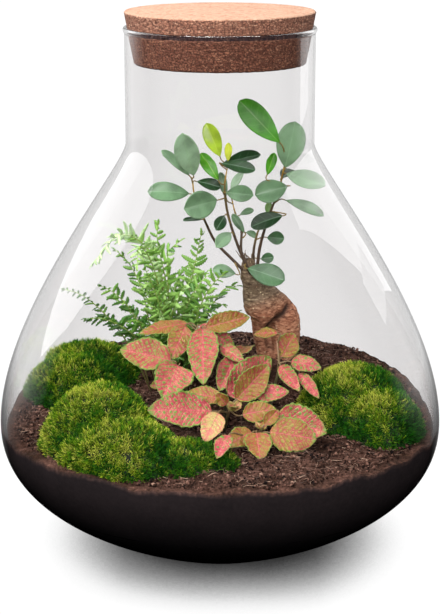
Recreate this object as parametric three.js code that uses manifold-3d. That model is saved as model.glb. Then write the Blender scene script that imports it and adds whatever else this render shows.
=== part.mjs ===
// A planted glass terrarium: a flask-shaped vessel with a cork stopper, potting soil, three moss
// cushions, a ficus with a swollen trunk, a fern and a fittonia.
// Millimetres, +Z up, origin at the centre of the foot. The front of the planting faces -Y.

import * as THREE from 'three';
import { mergeVertices } from 'three/addons/utils/BufferGeometryUtils.js';
import Module from 'manifold-3d';

const wasm = await Module();
wasm.setup();

// ---------------------------------------------------------------- driving dimensions

const SIDES = 36; // facets round the vessel, the soil and the stopper

// Vessel, outside. The belly and the shoulder are Bezier curves between these sizes.
const BELLY_RADIUS = 140;
const BELLY_HEIGHT = 79;
const FOOT_RADIUS = 54;
const FOOT_RING = 10; // width of the flat ring that the vessel stands on
const PUSH_UP = 1.5; // rise of the underside inside that ring
const PUSH_UP_SLOPE = 5; // width over which the underside rises
const NECK_RADIUS = 58;
const NECK_HEIGHT = 257; // where the shoulder has become the straight neck
const RIM_HEIGHT = 327.5;
const RIM_TALL = 4; // height of the fire-polished rim, which stands out from the neck
const RIM_BULGE = 0.8;
const RIM_EDGE = 0.4; // rounding inside, where the stopper goes in

// How far the handles of those curves reach: [outwards, upwards] from the foot, then down and up
// from the belly, then down from the neck.
const FOOT_HANDLE = [42, 19];
const BELLY_HANDLE_DOWN = 41;
const BELLY_HANDLE_UP = 68;
const NECK_HANDLE = 14;

// Vessel, wall and inside
const BASE_WALL = 6;
const BELLY_WALL = 3;
const NECK_WALL = 1.4;
const THICK_BELOW = 40; // height below which the wall thickens towards the foot
const FLOOR_RADIUS = 48; // flat floor inside

// Stopper: its taper meets the inner edge of the rim.
const CORK_TOP_HEIGHT = 337;
const CORK_TALL = 31.3;
const CORK_TAPER = 0.178; // loss of radius for each millimetre down
const CORK_CHAMFER = 0.8;

// Soil: level in front, higher at the back.
const SOIL_LEVEL = 80;
const SOIL_BACK_RISE = 14;
const SOIL_HEAP = { x: 43, y: 60, rise: 13, spread: 16 }; // round the foot of the ficus
const SOIL_RINGS = 6; // rings of points over its surface

// Moss
const MOSS_SIDES = 16; // facets round a lobe
const MOSS_BURIED = 8; // depth of a lobe below the level of the soil, before the soil is cut away
const MOSS_REACH = 133; // the cushions stop just short of the glass

const GAP = 0.35; // clearance between pieces that touch

// Plants
const LEAF_THICKNESS = 0.8;
const SMALL_LEAF = 31; // a leaf shorter than this has one row less
const STALK_WIDTH = 1.3;
const FROND_THICKNESS = 0.7;
const FROND_STALK = 1.5; // thickness of a frond's bare stalk
const FROND_RIB = 0.8; // half the width of a frond's rib
const HOLE_SLACK = 0.8; // clearance round a stem that stands in the soil
const SOIL_HOLE_DEPTH = 15; // measured along the stem, as is the next
const STUMP_HOLE_DEPTH = 12;

// ---------------------------------------------------------------- closed shapes

function geometryFrom(points, faces) {
  const geometry = new THREE.BufferGeometry().setFromPoints(points);
  geometry.setIndex(faces);
  return geometry;
}

// Rings of points, alike in number, joined into one closed skin with a point at either end.
function skin(start, rings, end) {
  const count = rings[0].length;
  const points = [start, ...rings.flat(), end];
  const top = 1 + (rings.length - 1) * count;
  const faces = [];
  for (let i = 0; i < count; i++) {
    const next = (i + 1) % count;
    faces.push(0, 1 + next, 1 + i);
    for (let low = 1; low < top; low += count) {
      const high = low + count;
      faces.push(low + i, low + next, high + next);
      faces.push(low + i, high + next, high + i);
    }
    faces.push(top + i, top + next, points.length - 1);
  }
  return geometryFrom(points, faces);
}

// A round limb along a smooth curve, with its radii spread evenly over the length.
function limb(route, radii, { sides = 6, steps = 6, grow = 0 } = {}) {
  const curve = routeCurve(route);
  const frames = curve.computeFrenetFrames(steps, false);
  const rings = [];
  for (let k = 0; k <= steps; k++) {
    const centre = curve.getPointAt(k / steps);
    const radius = along(radii, k / steps) + grow;
    const ring = [];
    for (let i = 0; i < sides; i++) {
      const angle = (2 * Math.PI * i) / sides;
      const point = centre.clone();
      point.addScaledVector(frames.normals[k], radius * Math.cos(angle));
      point.addScaledVector(frames.binormals[k], radius * Math.sin(angle));
      ring.push(point);
    }
    rings.push(ring);
  }
  return skin(curve.getPointAt(0), rings, curve.getPointAt(1));
}

// A thin closed sheet from its middle surface: both faces carry the same triangles, each point
// moved along its own normal by half the thickness, and a wall closes the open edge.
function thicken(points, offsets, triangles) {
  const count = points.length;
  const upper = points.map((point, i) => point.clone().add(offsets[i]));
  const lower = points.map((point, i) => point.clone().sub(offsets[i]));
  const faces = [];
  const edges = new Set();
  for (const [a, b, c] of triangles) {
    faces.push(a, b, c);
    faces.push(c + count, b + count, a + count);
    edges.add(`${a} ${b}`).add(`${b} ${c}`).add(`${c} ${a}`);
  }
  for (const edge of edges) {
    const [a, b] = edge.split(' ').map(Number);
    if (!edges.has(`${b} ${a}`)) {
      faces.push(b, a, a + count);
      faces.push(b, a + count, b + count);
    }
  }
  return geometryFrom([...upper, ...lower], faces);
}

// ---------------------------------------------------------------- joining and cutting

function solid(geometry) {
  const plain = geometry.clone();
  plain.deleteAttribute('normal');
  plain.deleteAttribute('uv');
  const merged = mergeVertices(plain, 1e-4);
  return new wasm.Manifold(
    new wasm.Mesh({
      numProp: 3,
      vertProperties: new Float32Array(merged.attributes.position.array),
      triVerts: new Uint32Array(merged.index.array),
    }),
  );
}

function geometryOf(manifold) {
  const mesh = manifold.getMesh();
  const geometry = new THREE.BufferGeometry();
  geometry.setAttribute('position', new THREE.Float32BufferAttribute(mesh.vertProperties, 3));
  geometry.setIndex(Array.from(mesh.triVerts));
  return geometry;
}

function fuse(geometries) {
  return geometries.map(solid).reduce((whole, next) => whole.add(next));
}

function cut(manifold, geometries) {
  return geometries.map(solid).reduce((rest, tool) => rest.subtract(tool), manifold);
}

// ---------------------------------------------------------------- small helpers

const radians = THREE.MathUtils.degToRad;

function vector([x, y, z]) {
  return new THREE.Vector3(x, y, z);
}

function routeCurve(route) {
  return new THREE.CatmullRomCurve3(route.map(vector), false, 'centripetal');
}

// The value at a place from 0 to 1 along a list of evenly spaced values.
function along(values, place) {
  const position = place * (values.length - 1);
  const index = Math.min(Math.floor(position), values.length - 2);
  return THREE.MathUtils.lerp(values[index], values[index + 1], position - index);
}

// The axes of a leaf: `out` runs to the tip, `across` to one edge, and `up` out of the upper face,
// which looks up at tilt 0 and to the front at tilt 90.
function leafAxes(heading, rise, tilt) {
  const out = new THREE.Vector3(1, 0, 0);
  out.applyAxisAngle(new THREE.Vector3(0, -1, 0), radians(rise));
  out.applyAxisAngle(new THREE.Vector3(0, 0, 1), radians(heading));
  const hint = new THREE.Vector3(0, -Math.sin(radians(tilt)), Math.cos(radians(tilt)));
  const across = out.clone().cross(hint).normalize();
  const up = across.clone().cross(out);
  return { out, across, up };
}

// ---------------------------------------------------------------- glass vessel

// The outer profile from the foot to the top of the shoulder.
function vesselProfile() {
  const lower = new THREE.CubicBezierCurve(
    new THREE.Vector2(FOOT_RADIUS, 0),
    new THREE.Vector2(FOOT_RADIUS + FOOT_HANDLE[0], FOOT_HANDLE[1]),
    new THREE.Vector2(BELLY_RADIUS, BELLY_HEIGHT - BELLY_HANDLE_DOWN),
    new THREE.Vector2(BELLY_RADIUS, BELLY_HEIGHT),
  );
  const upper = new THREE.CubicBezierCurve(
    new THREE.Vector2(BELLY_RADIUS, BELLY_HEIGHT),
    new THREE.Vector2(BELLY_RADIUS, BELLY_HEIGHT + BELLY_HANDLE_UP),
    new THREE.Vector2(NECK_RADIUS, NECK_HEIGHT - NECK_HANDLE),
    new THREE.Vector2(NECK_RADIUS, NECK_HEIGHT),
  );
  return [...lower.getPoints(6), ...upper.getPoints(7).slice(1)];
}

// The wall is thick at the foot and thins out towards the neck.
function wallAt(height) {
  const low = Math.min(height, THICK_BELOW);
  const foot = THREE.MathUtils.mapLinear(low, 0, THICK_BELOW, BASE_WALL, BELLY_WALL);
  const neck = THREE.MathUtils.mapLinear(height, BELLY_HEIGHT, NECK_HEIGHT, BELLY_WALL, NECK_WALL);
  return height < BELLY_HEIGHT ? foot : neck;
}

// The profile moved inwards by the wall and a clearance.
function insideProfile(clearance) {
  const profile = vesselProfile();
  return profile.map((point, i) => {
    const before = profile[Math.max(i - 1, 0)];
    const after = profile[Math.min(i + 1, profile.length - 1)];
    const direction = after.clone().sub(before).normalize();
    const depth = wallAt(point.y) + clearance;
    return new THREE.Vector2(point.x - direction.y * depth, point.y + direction.x * depth);
  });
}

function glassVessel() {
  const floor = BASE_WALL + PUSH_UP;
  const inside = insideProfile(0).filter((point) => point.y > floor + 1);
  const profile = [
    new THREE.Vector2(0, PUSH_UP),
    new THREE.Vector2(FOOT_RADIUS - FOOT_RING - PUSH_UP_SLOPE, PUSH_UP),
    new THREE.Vector2(FOOT_RADIUS - FOOT_RING, 0),
    ...vesselProfile(),
    new THREE.Vector2(NECK_RADIUS, RIM_HEIGHT - RIM_TALL),
    new THREE.Vector2(NECK_RADIUS + RIM_BULGE, RIM_HEIGHT - 0.45 * RIM_TALL),
    new THREE.Vector2(NECK_RADIUS, RIM_HEIGHT),
    new THREE.Vector2(NECK_RADIUS - NECK_WALL + RIM_EDGE, RIM_HEIGHT),
    new THREE.Vector2(NECK_RADIUS - NECK_WALL, RIM_HEIGHT - RIM_EDGE),
    ...inside.reverse(),
    new THREE.Vector2(FLOOR_RADIUS, floor),
    new THREE.Vector2(0, floor),
  ];
  return uprightLathe(profile);
}

// A lathe turned so that its axis is +Z.
function uprightLathe(profile) {
  return new THREE.LatheGeometry(profile, SIDES).rotateX(Math.PI / 2);
}

function corkStopper() {
  const rimRadius = NECK_RADIUS - NECK_WALL - GAP;
  const topRadius = rimRadius + (CORK_TOP_HEIGHT - RIM_HEIGHT) * CORK_TAPER;
  const bottomRadius = topRadius - CORK_TALL * CORK_TAPER;
  const bottom = CORK_TOP_HEIGHT - CORK_TALL;
  return uprightLathe([
    new THREE.Vector2(0, bottom),
    new THREE.Vector2(bottomRadius - CORK_CHAMFER, bottom),
    new THREE.Vector2(bottomRadius, bottom + CORK_CHAMFER),
    new THREE.Vector2(topRadius, CORK_TOP_HEIGHT - CORK_CHAMFER),
    new THREE.Vector2(topRadius - CORK_CHAMFER, CORK_TOP_HEIGHT),
    new THREE.Vector2(0, CORK_TOP_HEIGHT),
  ]);
}

// ---------------------------------------------------------------- soil

function soilHeight(x, y) {
  const back = THREE.MathUtils.smoothstep(y, -10, 100);
  const lumps = 1.1 * Math.sin(x / 13 + 1) * Math.sin(y / 11) + 0.8 * Math.sin(x / 6 + y / 9 + 2);
  const away = Math.hypot(x - SOIL_HEAP.x, y - SOIL_HEAP.y) / SOIL_HEAP.spread;
  return SOIL_LEVEL + SOIL_BACK_RISE * back + lumps + SOIL_HEAP.rise * Math.exp((-away * away) / 2);
}

// The radius of the soil against the glass at a height.
function soilRadius(height) {
  const wall = insideProfile(GAP);
  const i = wall.findIndex((point) => point.y > height);
  const share = (height - wall[i - 1].y) / (wall[i].y - wall[i - 1].y);
  return THREE.MathUtils.lerp(wall[i - 1].x, wall[i].x, share);
}

function soilBody() {
  const bottom = BASE_WALL + PUSH_UP + GAP;
  const wall = insideProfile(GAP).filter(({ y }) => y > bottom + 1 && y < SOIL_LEVEL - 5);
  const angles = Array.from({ length: SIDES }, (_, i) => (2 * Math.PI * i) / SIDES);
  const ringAt = (radius, height) =>
    angles.map((a) => vector([radius * Math.cos(a), radius * Math.sin(a), height]));
  const surfaceRing = (share) =>
    angles.map((a) => {
      const rimHeight = soilHeight(BELLY_RADIUS * Math.cos(a), BELLY_RADIUS * Math.sin(a));
      const radius = soilRadius(rimHeight) * share;
      const [x, y] = [radius * Math.cos(a), radius * Math.sin(a)];
      return vector([x, y, share === 1 ? rimHeight : soilHeight(x, y)]);
    });
  const rings = [ringAt(FLOOR_RADIUS - 1, bottom), ...wall.map((point) => ringAt(point.x, point.y))];
  for (let k = SOIL_RINGS; k > 0; k--) {
    rings.push(surfaceRing(k / SOIL_RINGS));
  }
  return solid(skin(vector([0, 0, bottom]), rings, vector([0, 0, soilHeight(0, 0)])));
}

// ---------------------------------------------------------------- moss

// Each cushion is a few domed lobes grown into one another: [x, y, half length, half depth, top].
const MOSS = {
  moss_cushion_left: [
    [-90, 56, 40, 30, 111],
    [-96, 30, 36, 28, 109],
    [-76, 50, 20, 18, 103],
  ],
  moss_cushion_front: [
    [-72, -60, 36, 38, 118],
    [-58, -88, 38, 32, 106],
    [-23, -92, 34, 20, 94],
  ],
  moss_cushion_right: [
    [86, -12, 38, 39, 115],
    [100, -36, 27, 31, 107],
  ],
};

function mossLobe([x, y, halfLength, halfDepth, top]) {
  const buried = SOIL_LEVEL - MOSS_BURIED;
  const edge = SOIL_LEVEL - 2;
  const ring = (share, height) =>
    Array.from({ length: MOSS_SIDES }, (_, i) => {
      const angle = (2 * Math.PI * i) / MOSS_SIDES;
      const swell = share * (1 + 0.035 * Math.sin(3 * angle + x) + 0.025 * Math.sin(5 * angle + y));
      const reach = new THREE.Vector2(halfLength * Math.cos(angle), halfDepth * Math.sin(angle));
      const place = reach.multiplyScalar(swell).add(new THREE.Vector2(x, y)).clampLength(0, MOSS_REACH);
      const [px, py] = place.toArray();
      const bump = height > buried ? 0.9 * Math.sin(px / 5 + y) * Math.sin(py / 6 + x) : 0;
      return vector([px, py, height + bump]);
    });
  const dome = [1, 0.95, 0.82, 0.62, 0.35].map((share) => {
    return ring(share, edge + (top - edge) * (1 - share ** 2.5) ** (1 / 1.6));
  });
  return skin(vector([x, y, buried]), [ring(1, buried), ...dome], vector([x, y, top]));
}

// A cushion lies on the soil, a small gap above its surface.
function mossCushion(lobes, soil) {
  return fuse(lobes.map(mossLobe)).subtract(soil.translate(0, 0, GAP));
}

// ---------------------------------------------------------------- ficus

// Two swollen root legs that meet under the cut stump, down into the soil.
const FICUS_LEGS = [
  {
    route: [
      [18, 42, 172], [20, 44, 160], [25, 47, 150], [32, 50, 143], [39, 53, 136], [43.5, 55, 128],
      [44, 57, 118], [43, 58, 108], [41.5, 59, 97], [41, 60, 86], [41, 61, 80],
    ],
    radii: [3.8, 6, 8.2, 9, 9.3, 9.6, 10.2, 10, 9, 8, 7.5],
  },
  {
    route: [
      [22, 46, 158], [23, 47, 150], [26, 48, 142], [28.5, 49, 134], [27.5, 51, 127],
      [27, 53, 120], [28.5, 56, 110], [30, 58, 98], [31, 60, 84],
    ],
    radii: [6, 7.6, 9, 10.4, 11.2, 10.8, 8.4, 5.8, 4.8, 4.3, 4.2, 4, 4, 4, 4, 4, 3.8],
  },
];

function ficusLegs(grow) {
  return FICUS_LEGS.map((leg) => limb(leg.route, leg.radii, { sides: 9, steps: 10, grow }));
}

// Leafy stems. A leaf hangs on a stalk from a place (0 to 1) along the stem.
const FICUS_STEMS = [
  {
    route: [
      [17, 41, 163], [7, 41, 173], [-3, 40, 184],
      [-10, 37, 199], [-16, 32, 215], [-18, 27, 229],
    ],
    leaves: [
      { from: 0.99, base: [-17, 24, 231], heading: -110, rise: 57, length: 33, width: 16, tilt: 100 },
      { from: 0.95, base: [-20, 25, 231], heading: -150, rise: 46, length: 25, width: 7, tilt: 50 },
      { from: 0.8, base: [-20, 29, 218], heading: -150, rise: 12, length: 28, width: 13, tilt: 60 },
      { from: 0.62, base: [-12, 31, 201], heading: -165, rise: 4, length: 12, width: 5, tilt: 20 },
      { from: 0.9, base: [-15, 34, 225], heading: 5, rise: -12, length: 16, width: 8, tilt: 50 },
      { from: 0.14, base: [10, 34, 164], heading: -170, rise: 15, length: 15, width: 9, tilt: 75 },
    ],
  },
  {
    route: [[20, 38, 163], [12, 38, 181], [5, 36, 204], [3, 32, 222], [5, 29, 237]],
    leaves: [
      { from: 0.98, base: [0, 28, 243], heading: -160, rise: 67, length: 23, width: 11, tilt: 85 },
      { from: 0.99, base: [5, 28, 240], heading: -80, rise: 78, length: 12, width: 5, tilt: 100 },
      { from: 0.95, base: [2, 31, 237], heading: 5, rise: 19, length: 25, width: 11, tilt: 35 },
      { from: 0.97, base: [1, 27, 238], heading: -15, rise: -6, length: 22, width: 9, tilt: 55 },
      { from: 0.82, base: [-1, 28, 227], heading: 170, rise: 57, length: 21, width: 9, tilt: 80 },
      { from: 0.7, base: [-2, 28, 214], heading: -140, rise: -4, length: 25, width: 18, tilt: 80 },
      { from: 0.72, base: [4, 28, 219], heading: -30, rise: 2, length: 19, width: 11, tilt: 65 },
      { from: 0.45, base: [3, 31, 203], heading: -110, rise: -18, length: 14, width: 8, tilt: 70 },
      { from: 0.35, base: [7, 34, 191], heading: -120, rise: -12, length: 17, width: 9, tilt: 60 },
      { from: 0.1, base: [18, 33, 168], heading: -25, rise: -10, length: 26, width: 15, tilt: 60 },
    ],
  },
  {
    route: [[24, 41, 160], [26, 40, 180], [32, 35, 203], [38, 28, 222], [41, 19, 240]],
    leaves: [
      { from: 0.97, base: [37, 10, 255], heading: 172, rise: 46, length: 36, width: 16, tilt: 80 },
      { from: 0.98, base: [41, 14, 238], heading: -45, rise: 74, length: 30, width: 19, tilt: 96 },
      { from: 0.9, base: [42, 20, 233], heading: -38, rise: -4, length: 28, width: 14, tilt: 55 },
      { from: 0.88, base: [40, 30, 228], heading: 60, rise: 15, length: 18, width: 12, tilt: 0 },
      { from: 0.82, base: [30, 21, 232], heading: -20, rise: 72, length: 15, width: 6.5, tilt: 90 },
      { from: 0.78, base: [43, 24, 224], heading: -165, rise: -12, length: 21, width: 15, tilt: 78 },
      { from: 0.62, base: [42, 29, 214], heading: -30, rise: -8, length: 27, width: 8.5, tilt: 40 },
      { from: 0.55, base: [40, 28, 204], heading: -170, rise: -14, length: 21, width: 12, tilt: 55 },
    ],
  },
  {
    route: [[18, 46, 163], [14, 49, 176], [14, 52, 190], [10, 55, 200], [8, 57, 208]],
    leaves: [
      { from: 0.98, base: [8, 58, 211], heading: 60, rise: 58, length: 18, width: 11, tilt: -20 },
      { from: 0.95, base: [4, 50, 212], heading: 180, rise: 76, length: 16, width: 6, tilt: 90 },
      { from: 0.7, base: [13, 57, 198], heading: 10, rise: 25, length: 10, width: 5, tilt: 30 },
      { from: 0.5, base: [17, 54, 187], heading: 20, rise: -20, length: 9, width: 6, tilt: 40 },
      { from: 0.45, base: [16, 50, 188], heading: 180, rise: 57, length: 14, width: 5.5, tilt: 80 },
    ],
  },
  {
    route: [[24, 47, 158], [22, 47, 173], [24, 47, 186], [28, 47, 197]],
    leaves: [
      { from: 0.98, base: [31, 46, 201], heading: 0, rise: 80, length: 8, width: 5, tilt: 90 },
      { from: 0.65, base: [31, 44, 186], heading: -20, rise: 2, length: 11, width: 9, tilt: 75 },
      { from: 0.35, base: [27, 47, 171], heading: -15, rise: 10, length: 8.5, width: 7, tilt: 75 },
    ],
  },
];

// Width of a leaf, from 0 to 1, at a place from its foot to its tip.
function ficusOutline(place) {
  return Math.sin(Math.PI * place ** 1.12) ** 0.62;
}

// ---------------------------------------------------------------- fittonia

// Low leafy stems with broad leaves whose edges wave.
const FITTONIA_STEMS = [
  {
    route: [[-6, 6, 78], [-9, 8, 102], [-13, 10, 133]],
    leaves: [
      { from: 0.97, base: [-13, 13, 135], heading: -15, rise: -26, length: 26, width: 13, tilt: 60 },
      { from: 0.98, base: [-21, 11, 137], heading: -158, rise: 0, length: 32, width: 12, tilt: 30 },
      { from: 0.95, base: [-22, 8, 136], heading: -108, rise: -25, length: 26, width: 16, tilt: 70 },
      { from: 0.97, base: [-11, 3, 136], heading: -89, rise: -26, length: 44, width: 20, tilt: 72 },
      { from: 0.99, base: [-9, 11, 134], heading: 5, rise: 16, length: 29, width: 14, tilt: 55 },
    ],
  },
  {
    route: [[-16, -10, 76], [-20, -12, 95], [-27, -13, 114]],
    leaves: [
      { from: 0.75, base: [-26, -5, 107], heading: 125, rise: 4, length: 22, width: 13, tilt: 0 },
      { from: 0.97, base: [-31, -14, 120], heading: 175, rise: 14, length: 33, width: 22, tilt: 55 },
      { from: 0.8, base: [-29, -17, 108], heading: -165, rise: -5, length: 15, width: 9, tilt: 50 },
      { from: 0.95, base: [-26, -19, 118], heading: -105, rise: -15, length: 27, width: 25, tilt: 72 },
    ],
  },
  {
    route: [[3, -12, 76], [4, -9, 98], [5, -4, 120]],
    leaves: [
      { from: 0.8, base: [9, 3, 117], heading: 62, rise: 8, length: 25, width: 15, tilt: 0 },
      { from: 0.99, base: [1, -3, 126], heading: -52, rise: -8, length: 20, width: 10, tilt: 50 },
      { from: 0.9, base: [9, -8, 120], heading: -108, rise: -22, length: 29, width: 15, tilt: 70 },
    ],
  },
  {
    route: [[2, -30, 75], [4, -36, 88], [6, -42, 98]],
    leaves: [
      { from: 0.9, base: [5, -37, 105], heading: 25, rise: 33, length: 38, width: 23, tilt: 78 },
      { from: 0.98, base: [10, -45, 105], heading: 20, rise: 42, length: 29, width: 18, tilt: 82 },
      { from: 0.9, base: [1, -42, 104], heading: 176, rise: 14, length: 22, width: 13, tilt: 45 },
      { from: 0.85, base: [-5, -53, 100], heading: -158, rise: 11, length: 40, width: 23, tilt: 50 },
      { from: 0.99, base: [4, -49, 103], heading: -160, rise: 50, length: 10, width: 8, tilt: 70 },
      { from: 0.8, base: [-1, -54, 99], heading: -108, rise: -16, length: 24, width: 14, tilt: 60 },
      { from: 0.85, base: [22, -40, 106], heading: -14, rise: 14, length: 20, width: 12, tilt: 55 },
      { from: 0.95, base: [14, -51, 97], heading: -8, rise: 16, length: 20, width: 14, tilt: 55 },
    ],
  },
  {
    route: [[20, -50, 73], [22, -56, 82], [24, -61, 90]],
    leaves: [
      { from: 0.9, base: [19, -66, 91], heading: -136, rise: -2, length: 19, width: 13, tilt: 50 },
      { from: 0.95, base: [22, -67, 91], heading: -86, rise: -16, length: 20, width: 17, tilt: 60 },
      { from: 0.99, base: [27, -63, 95], heading: 20, rise: 45, length: 12, width: 8, tilt: 60 },
      { from: 0.9, base: [30, -66, 91], heading: -20, rise: 2, length: 28, width: 22, tilt: 50 },
      { from: 0.8, base: [34, -56, 97], heading: -24, rise: -6, length: 31, width: 23, tilt: 60 },
      { from: 0.6, base: [5, -85, 96], heading: -110, rise: -8, length: 20, width: 10, tilt: 10 },
    ],
  },
  {
    route: [[30, -16, 76], [33, -14, 96], [37, -12, 115], [36, -8, 131]],
    leaves: [
      { from: 0.9, base: [40, -6, 124], heading: 60, rise: 60, length: 11, width: 8, tilt: 80 },
      { from: 0.98, base: [36, -8, 136], heading: 165, rise: 3, length: 15, width: 8, tilt: 30 },
      { from: 0.8, base: [39, -9, 121], heading: 45, rise: 48, length: 18, width: 15, tilt: 75 },
      { from: 0.72, base: [38, -18, 118], heading: -66, rise: -18, length: 25, width: 10, tilt: 70 },
      { from: 0.75, base: [45, -13, 119], heading: -30, rise: 3, length: 19, width: 12, tilt: 50 },
      { from: 0.7, base: [50, -18, 113], heading: -66, rise: -14, length: 24, width: 8, tilt: 60 },
    ],
  },
];

function fittoniaOutline(place) {
  return Math.sin(Math.PI * place ** 0.9) ** 0.6;
}

// ---------------------------------------------------------------- leaves and stems

const FICUS_LEAF = { outline: ficusOutline, rows: 4, fold: 0.16, droop: 0.1, wave: 0, waves: 1 };
const FITTONIA_LEAF = { outline: fittoniaOutline, rows: 5, fold: 0.12, droop: 0.16, wave: 0.12, waves: 2 };

// A leaf: a stalk that starts inside the stem, and a blade of two halves folded up from the middle
// vein, bent down towards the tip, with an edge that waves.
function leafSheet(curve, { from, base, heading, rise, length, width, tilt }, kind) {
  const { out, across, up } = leafAxes(heading, rise, tilt);
  const points = [];
  const offsets = [];
  const triangles = [];
  const addRow = (middle, half, lifts, offset) => {
    [-1, 0, 1].forEach((side, i) => {
      points.push(middle.clone().addScaledVector(across, side * half).addScaledVector(up, lifts[i]));
      offsets.push(offset);
    });
  };
  const root = curve.getPointAt(from);
  const stalkUp = across.clone().cross(vector(base).sub(root)).setLength(STALK_WIDTH / 2);
  const bladeUp = up.clone().setLength(LEAF_THICKNESS / 2);
  addRow(root, STALK_WIDTH / 2, [0, 0, 0], stalkUp);
  addRow(vector(base), STALK_WIDTH / 2, [0, 0, 0], stalkUp.clone().lerp(bladeUp, 0.5));
  const rows = length < SMALL_LEAF ? kind.rows - 1 : kind.rows;
  for (let row = 1; row <= rows; row++) {
    const place = row / rows;
    const half = Math.max((kind.outline(place) * width) / 2, LEAF_THICKNESS / 2);
    const wave = (side) => kind.wave * half * Math.sin(2 * Math.PI * kind.waves * place + side);
    const middle = vector(base).addScaledVector(out, length * place);
    middle.addScaledVector(up, -kind.droop * length * place ** 2);
    addRow(middle, half, [kind.fold * half + wave(-1), 0, kind.fold * half + wave(1)], bladeUp);
  }
  for (let corner = 0; corner < points.length - 3; corner += 3) {
    for (const a of [corner, corner + 1]) {
      triangles.push([a, a + 1, a + 4], [a, a + 4, a + 3]);
    }
  }
  return thicken(points, offsets, triangles);
}

function leafyStem({ route, leaves }, radii, kind) {
  const curve = routeCurve(route);
  const leafSheets = leaves.map((leaf) => leafSheet(curve, leaf, kind));
  return fuse([limb(route, radii, { sides: 5, steps: 4 }), ...leafSheets]);
}

// The plain hole that the foot of a stem stands in, straight along the first stretch of its route.
function stemHole(route, depth, radius) {
  const curve = routeCurve(route);
  const foot = curve.getPointAt(0);
  const mouth = curve.getPointAt(depth / curve.getLength());
  const below = foot.clone().sub(mouth).setLength(GAP).add(foot);
  return limb([below.toArray(), mouth.toArray()], [radius, radius], { sides: 6, steps: 1 });
}

// ---------------------------------------------------------------- fern

// Arching fronds that rise from one crown. `bare` is the share of stalk without leaflets, `leaflet`
// the length of the longest one, and `twist` turns the blade about its length.
const FERN_FRONDS = [
  {
    route: [[-37, 47, 84], [-36, 46, 130], [-45, 42, 176], [-64, 36, 190], [-84, 22, 172]],
    bare: 0.55, pairs: 8, leaflet: 10, twist: 50,
  },
  {
    route: [[-35, 55, 85], [-36, 56, 138], [-46, 56, 176], [-61, 52, 187], [-75, 46, 186]],
    bare: 0.6, pairs: 6, leaflet: 6, twist: 20,
  },
  {
    route: [[-29, 54, 85], [-31, 59, 120], [-38, 63, 160], [-42, 62, 180], [-41, 59, 194]],
    bare: 0.52, pairs: 7, leaflet: 11, twist: 80,
  },
  {
    route: [[-31, 40, 84], [-33, 38, 124], [-34, 34, 160], [-33, 30, 180], [-24, 26, 189]],
    bare: 0.5, pairs: 6, leaflet: 10, twist: 70,
  },
  {
    route: [[-35, 38, 84], [-38, 35, 140], [-44, 29, 172], [-51, 18, 186], [-53, 6, 174]],
    bare: 0.56, pairs: 7, leaflet: 8, twist: 30,
  },
  {
    route: [[-42, 45, 84], [-46, 46, 120], [-53, 50, 152], [-62, 54, 168], [-72, 58, 176]],
    bare: 0.36, pairs: 7, leaflet: 8, twist: 60,
  },
  {
    route: [[-45, 34, 82], [-62, 26, 122], [-78, 16, 146], [-90, 8, 158], [-101, 2, 163]],
    bare: 0.34, pairs: 7, leaflet: 5.5, twist: 60,
  },
  {
    route: [[-40, 37, 83], [-50, 32, 124], [-60, 27, 144], [-70, 21, 156], [-78, 14, 162]],
    bare: 0.35, pairs: 7, leaflet: 9, twist: 50,
  },
  {
    route: [[-36, 29, 82], [-48, 22, 116], [-61, 13, 133], [-75, 5, 142], [-87, -2, 144]],
    bare: 0.35, pairs: 7, leaflet: 9, twist: 30,
  },
  {
    route: [[-47, 43, 84], [-55, 44, 110], [-67, 43, 127], [-79, 40, 133], [-89, 36, 132]],
    bare: 0.35, pairs: 7, leaflet: 8, twist: 20,
  },
  {
    route: [[-21, 45, 84], [-22, 50, 114], [-21, 52, 143], [-16, 52, 169], [-12, 50, 189]],
    bare: 0.38, pairs: 7, leaflet: 11, twist: 85,
  },
  {
    route: [[-29, 32, 82], [-34, 27, 124], [-39, 20, 147], [-44, 13, 164], [-48, 6, 176]],
    bare: 0.36, pairs: 8, leaflet: 8, twist: 70,
  },
  {
    route: [[-22, 32, 82], [-19, 30, 120], [-13, 26, 144], [-5, 21, 160], [4, 16, 170]],
    bare: 0.36, pairs: 7, leaflet: 10, twist: -60,
  },
  {
    route: [[-20, 48, 84], [-14, 54, 116], [-5, 60, 136], [4, 66, 146], [14, 72, 146]],
    bare: 0.36, pairs: 6, leaflet: 10, twist: -30,
  },
  {
    route: [[-33, 59, 86], [-37, 66, 120], [-42, 73, 144], [-48, 79, 158], [-55, 83, 161]],
    bare: 0.38, pairs: 7, leaflet: 10, twist: 20,
  },
];

const BLADE_END = 0.98; // share of the length where the last pair of leaflets ends
const STALK_STEPS = 3;

// A leaflet's outline as shares of its length: the half way points lie `sweep` forward, and the tip
// twice that, and they hang down by the two droops. Its width is a share of the room for one pair.
const LEAFLET = { wide: 0.66, sweep: 0.15, droop: 0.03, tipDroop: 0.14 };

// Length of a leaflet as a share of the longest, at a place from 0 to 1 along the blade.
function leafletShare(place) {
  return Math.sin(Math.PI * (0.2 + 0.72 * place)) ** 0.8;
}

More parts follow.
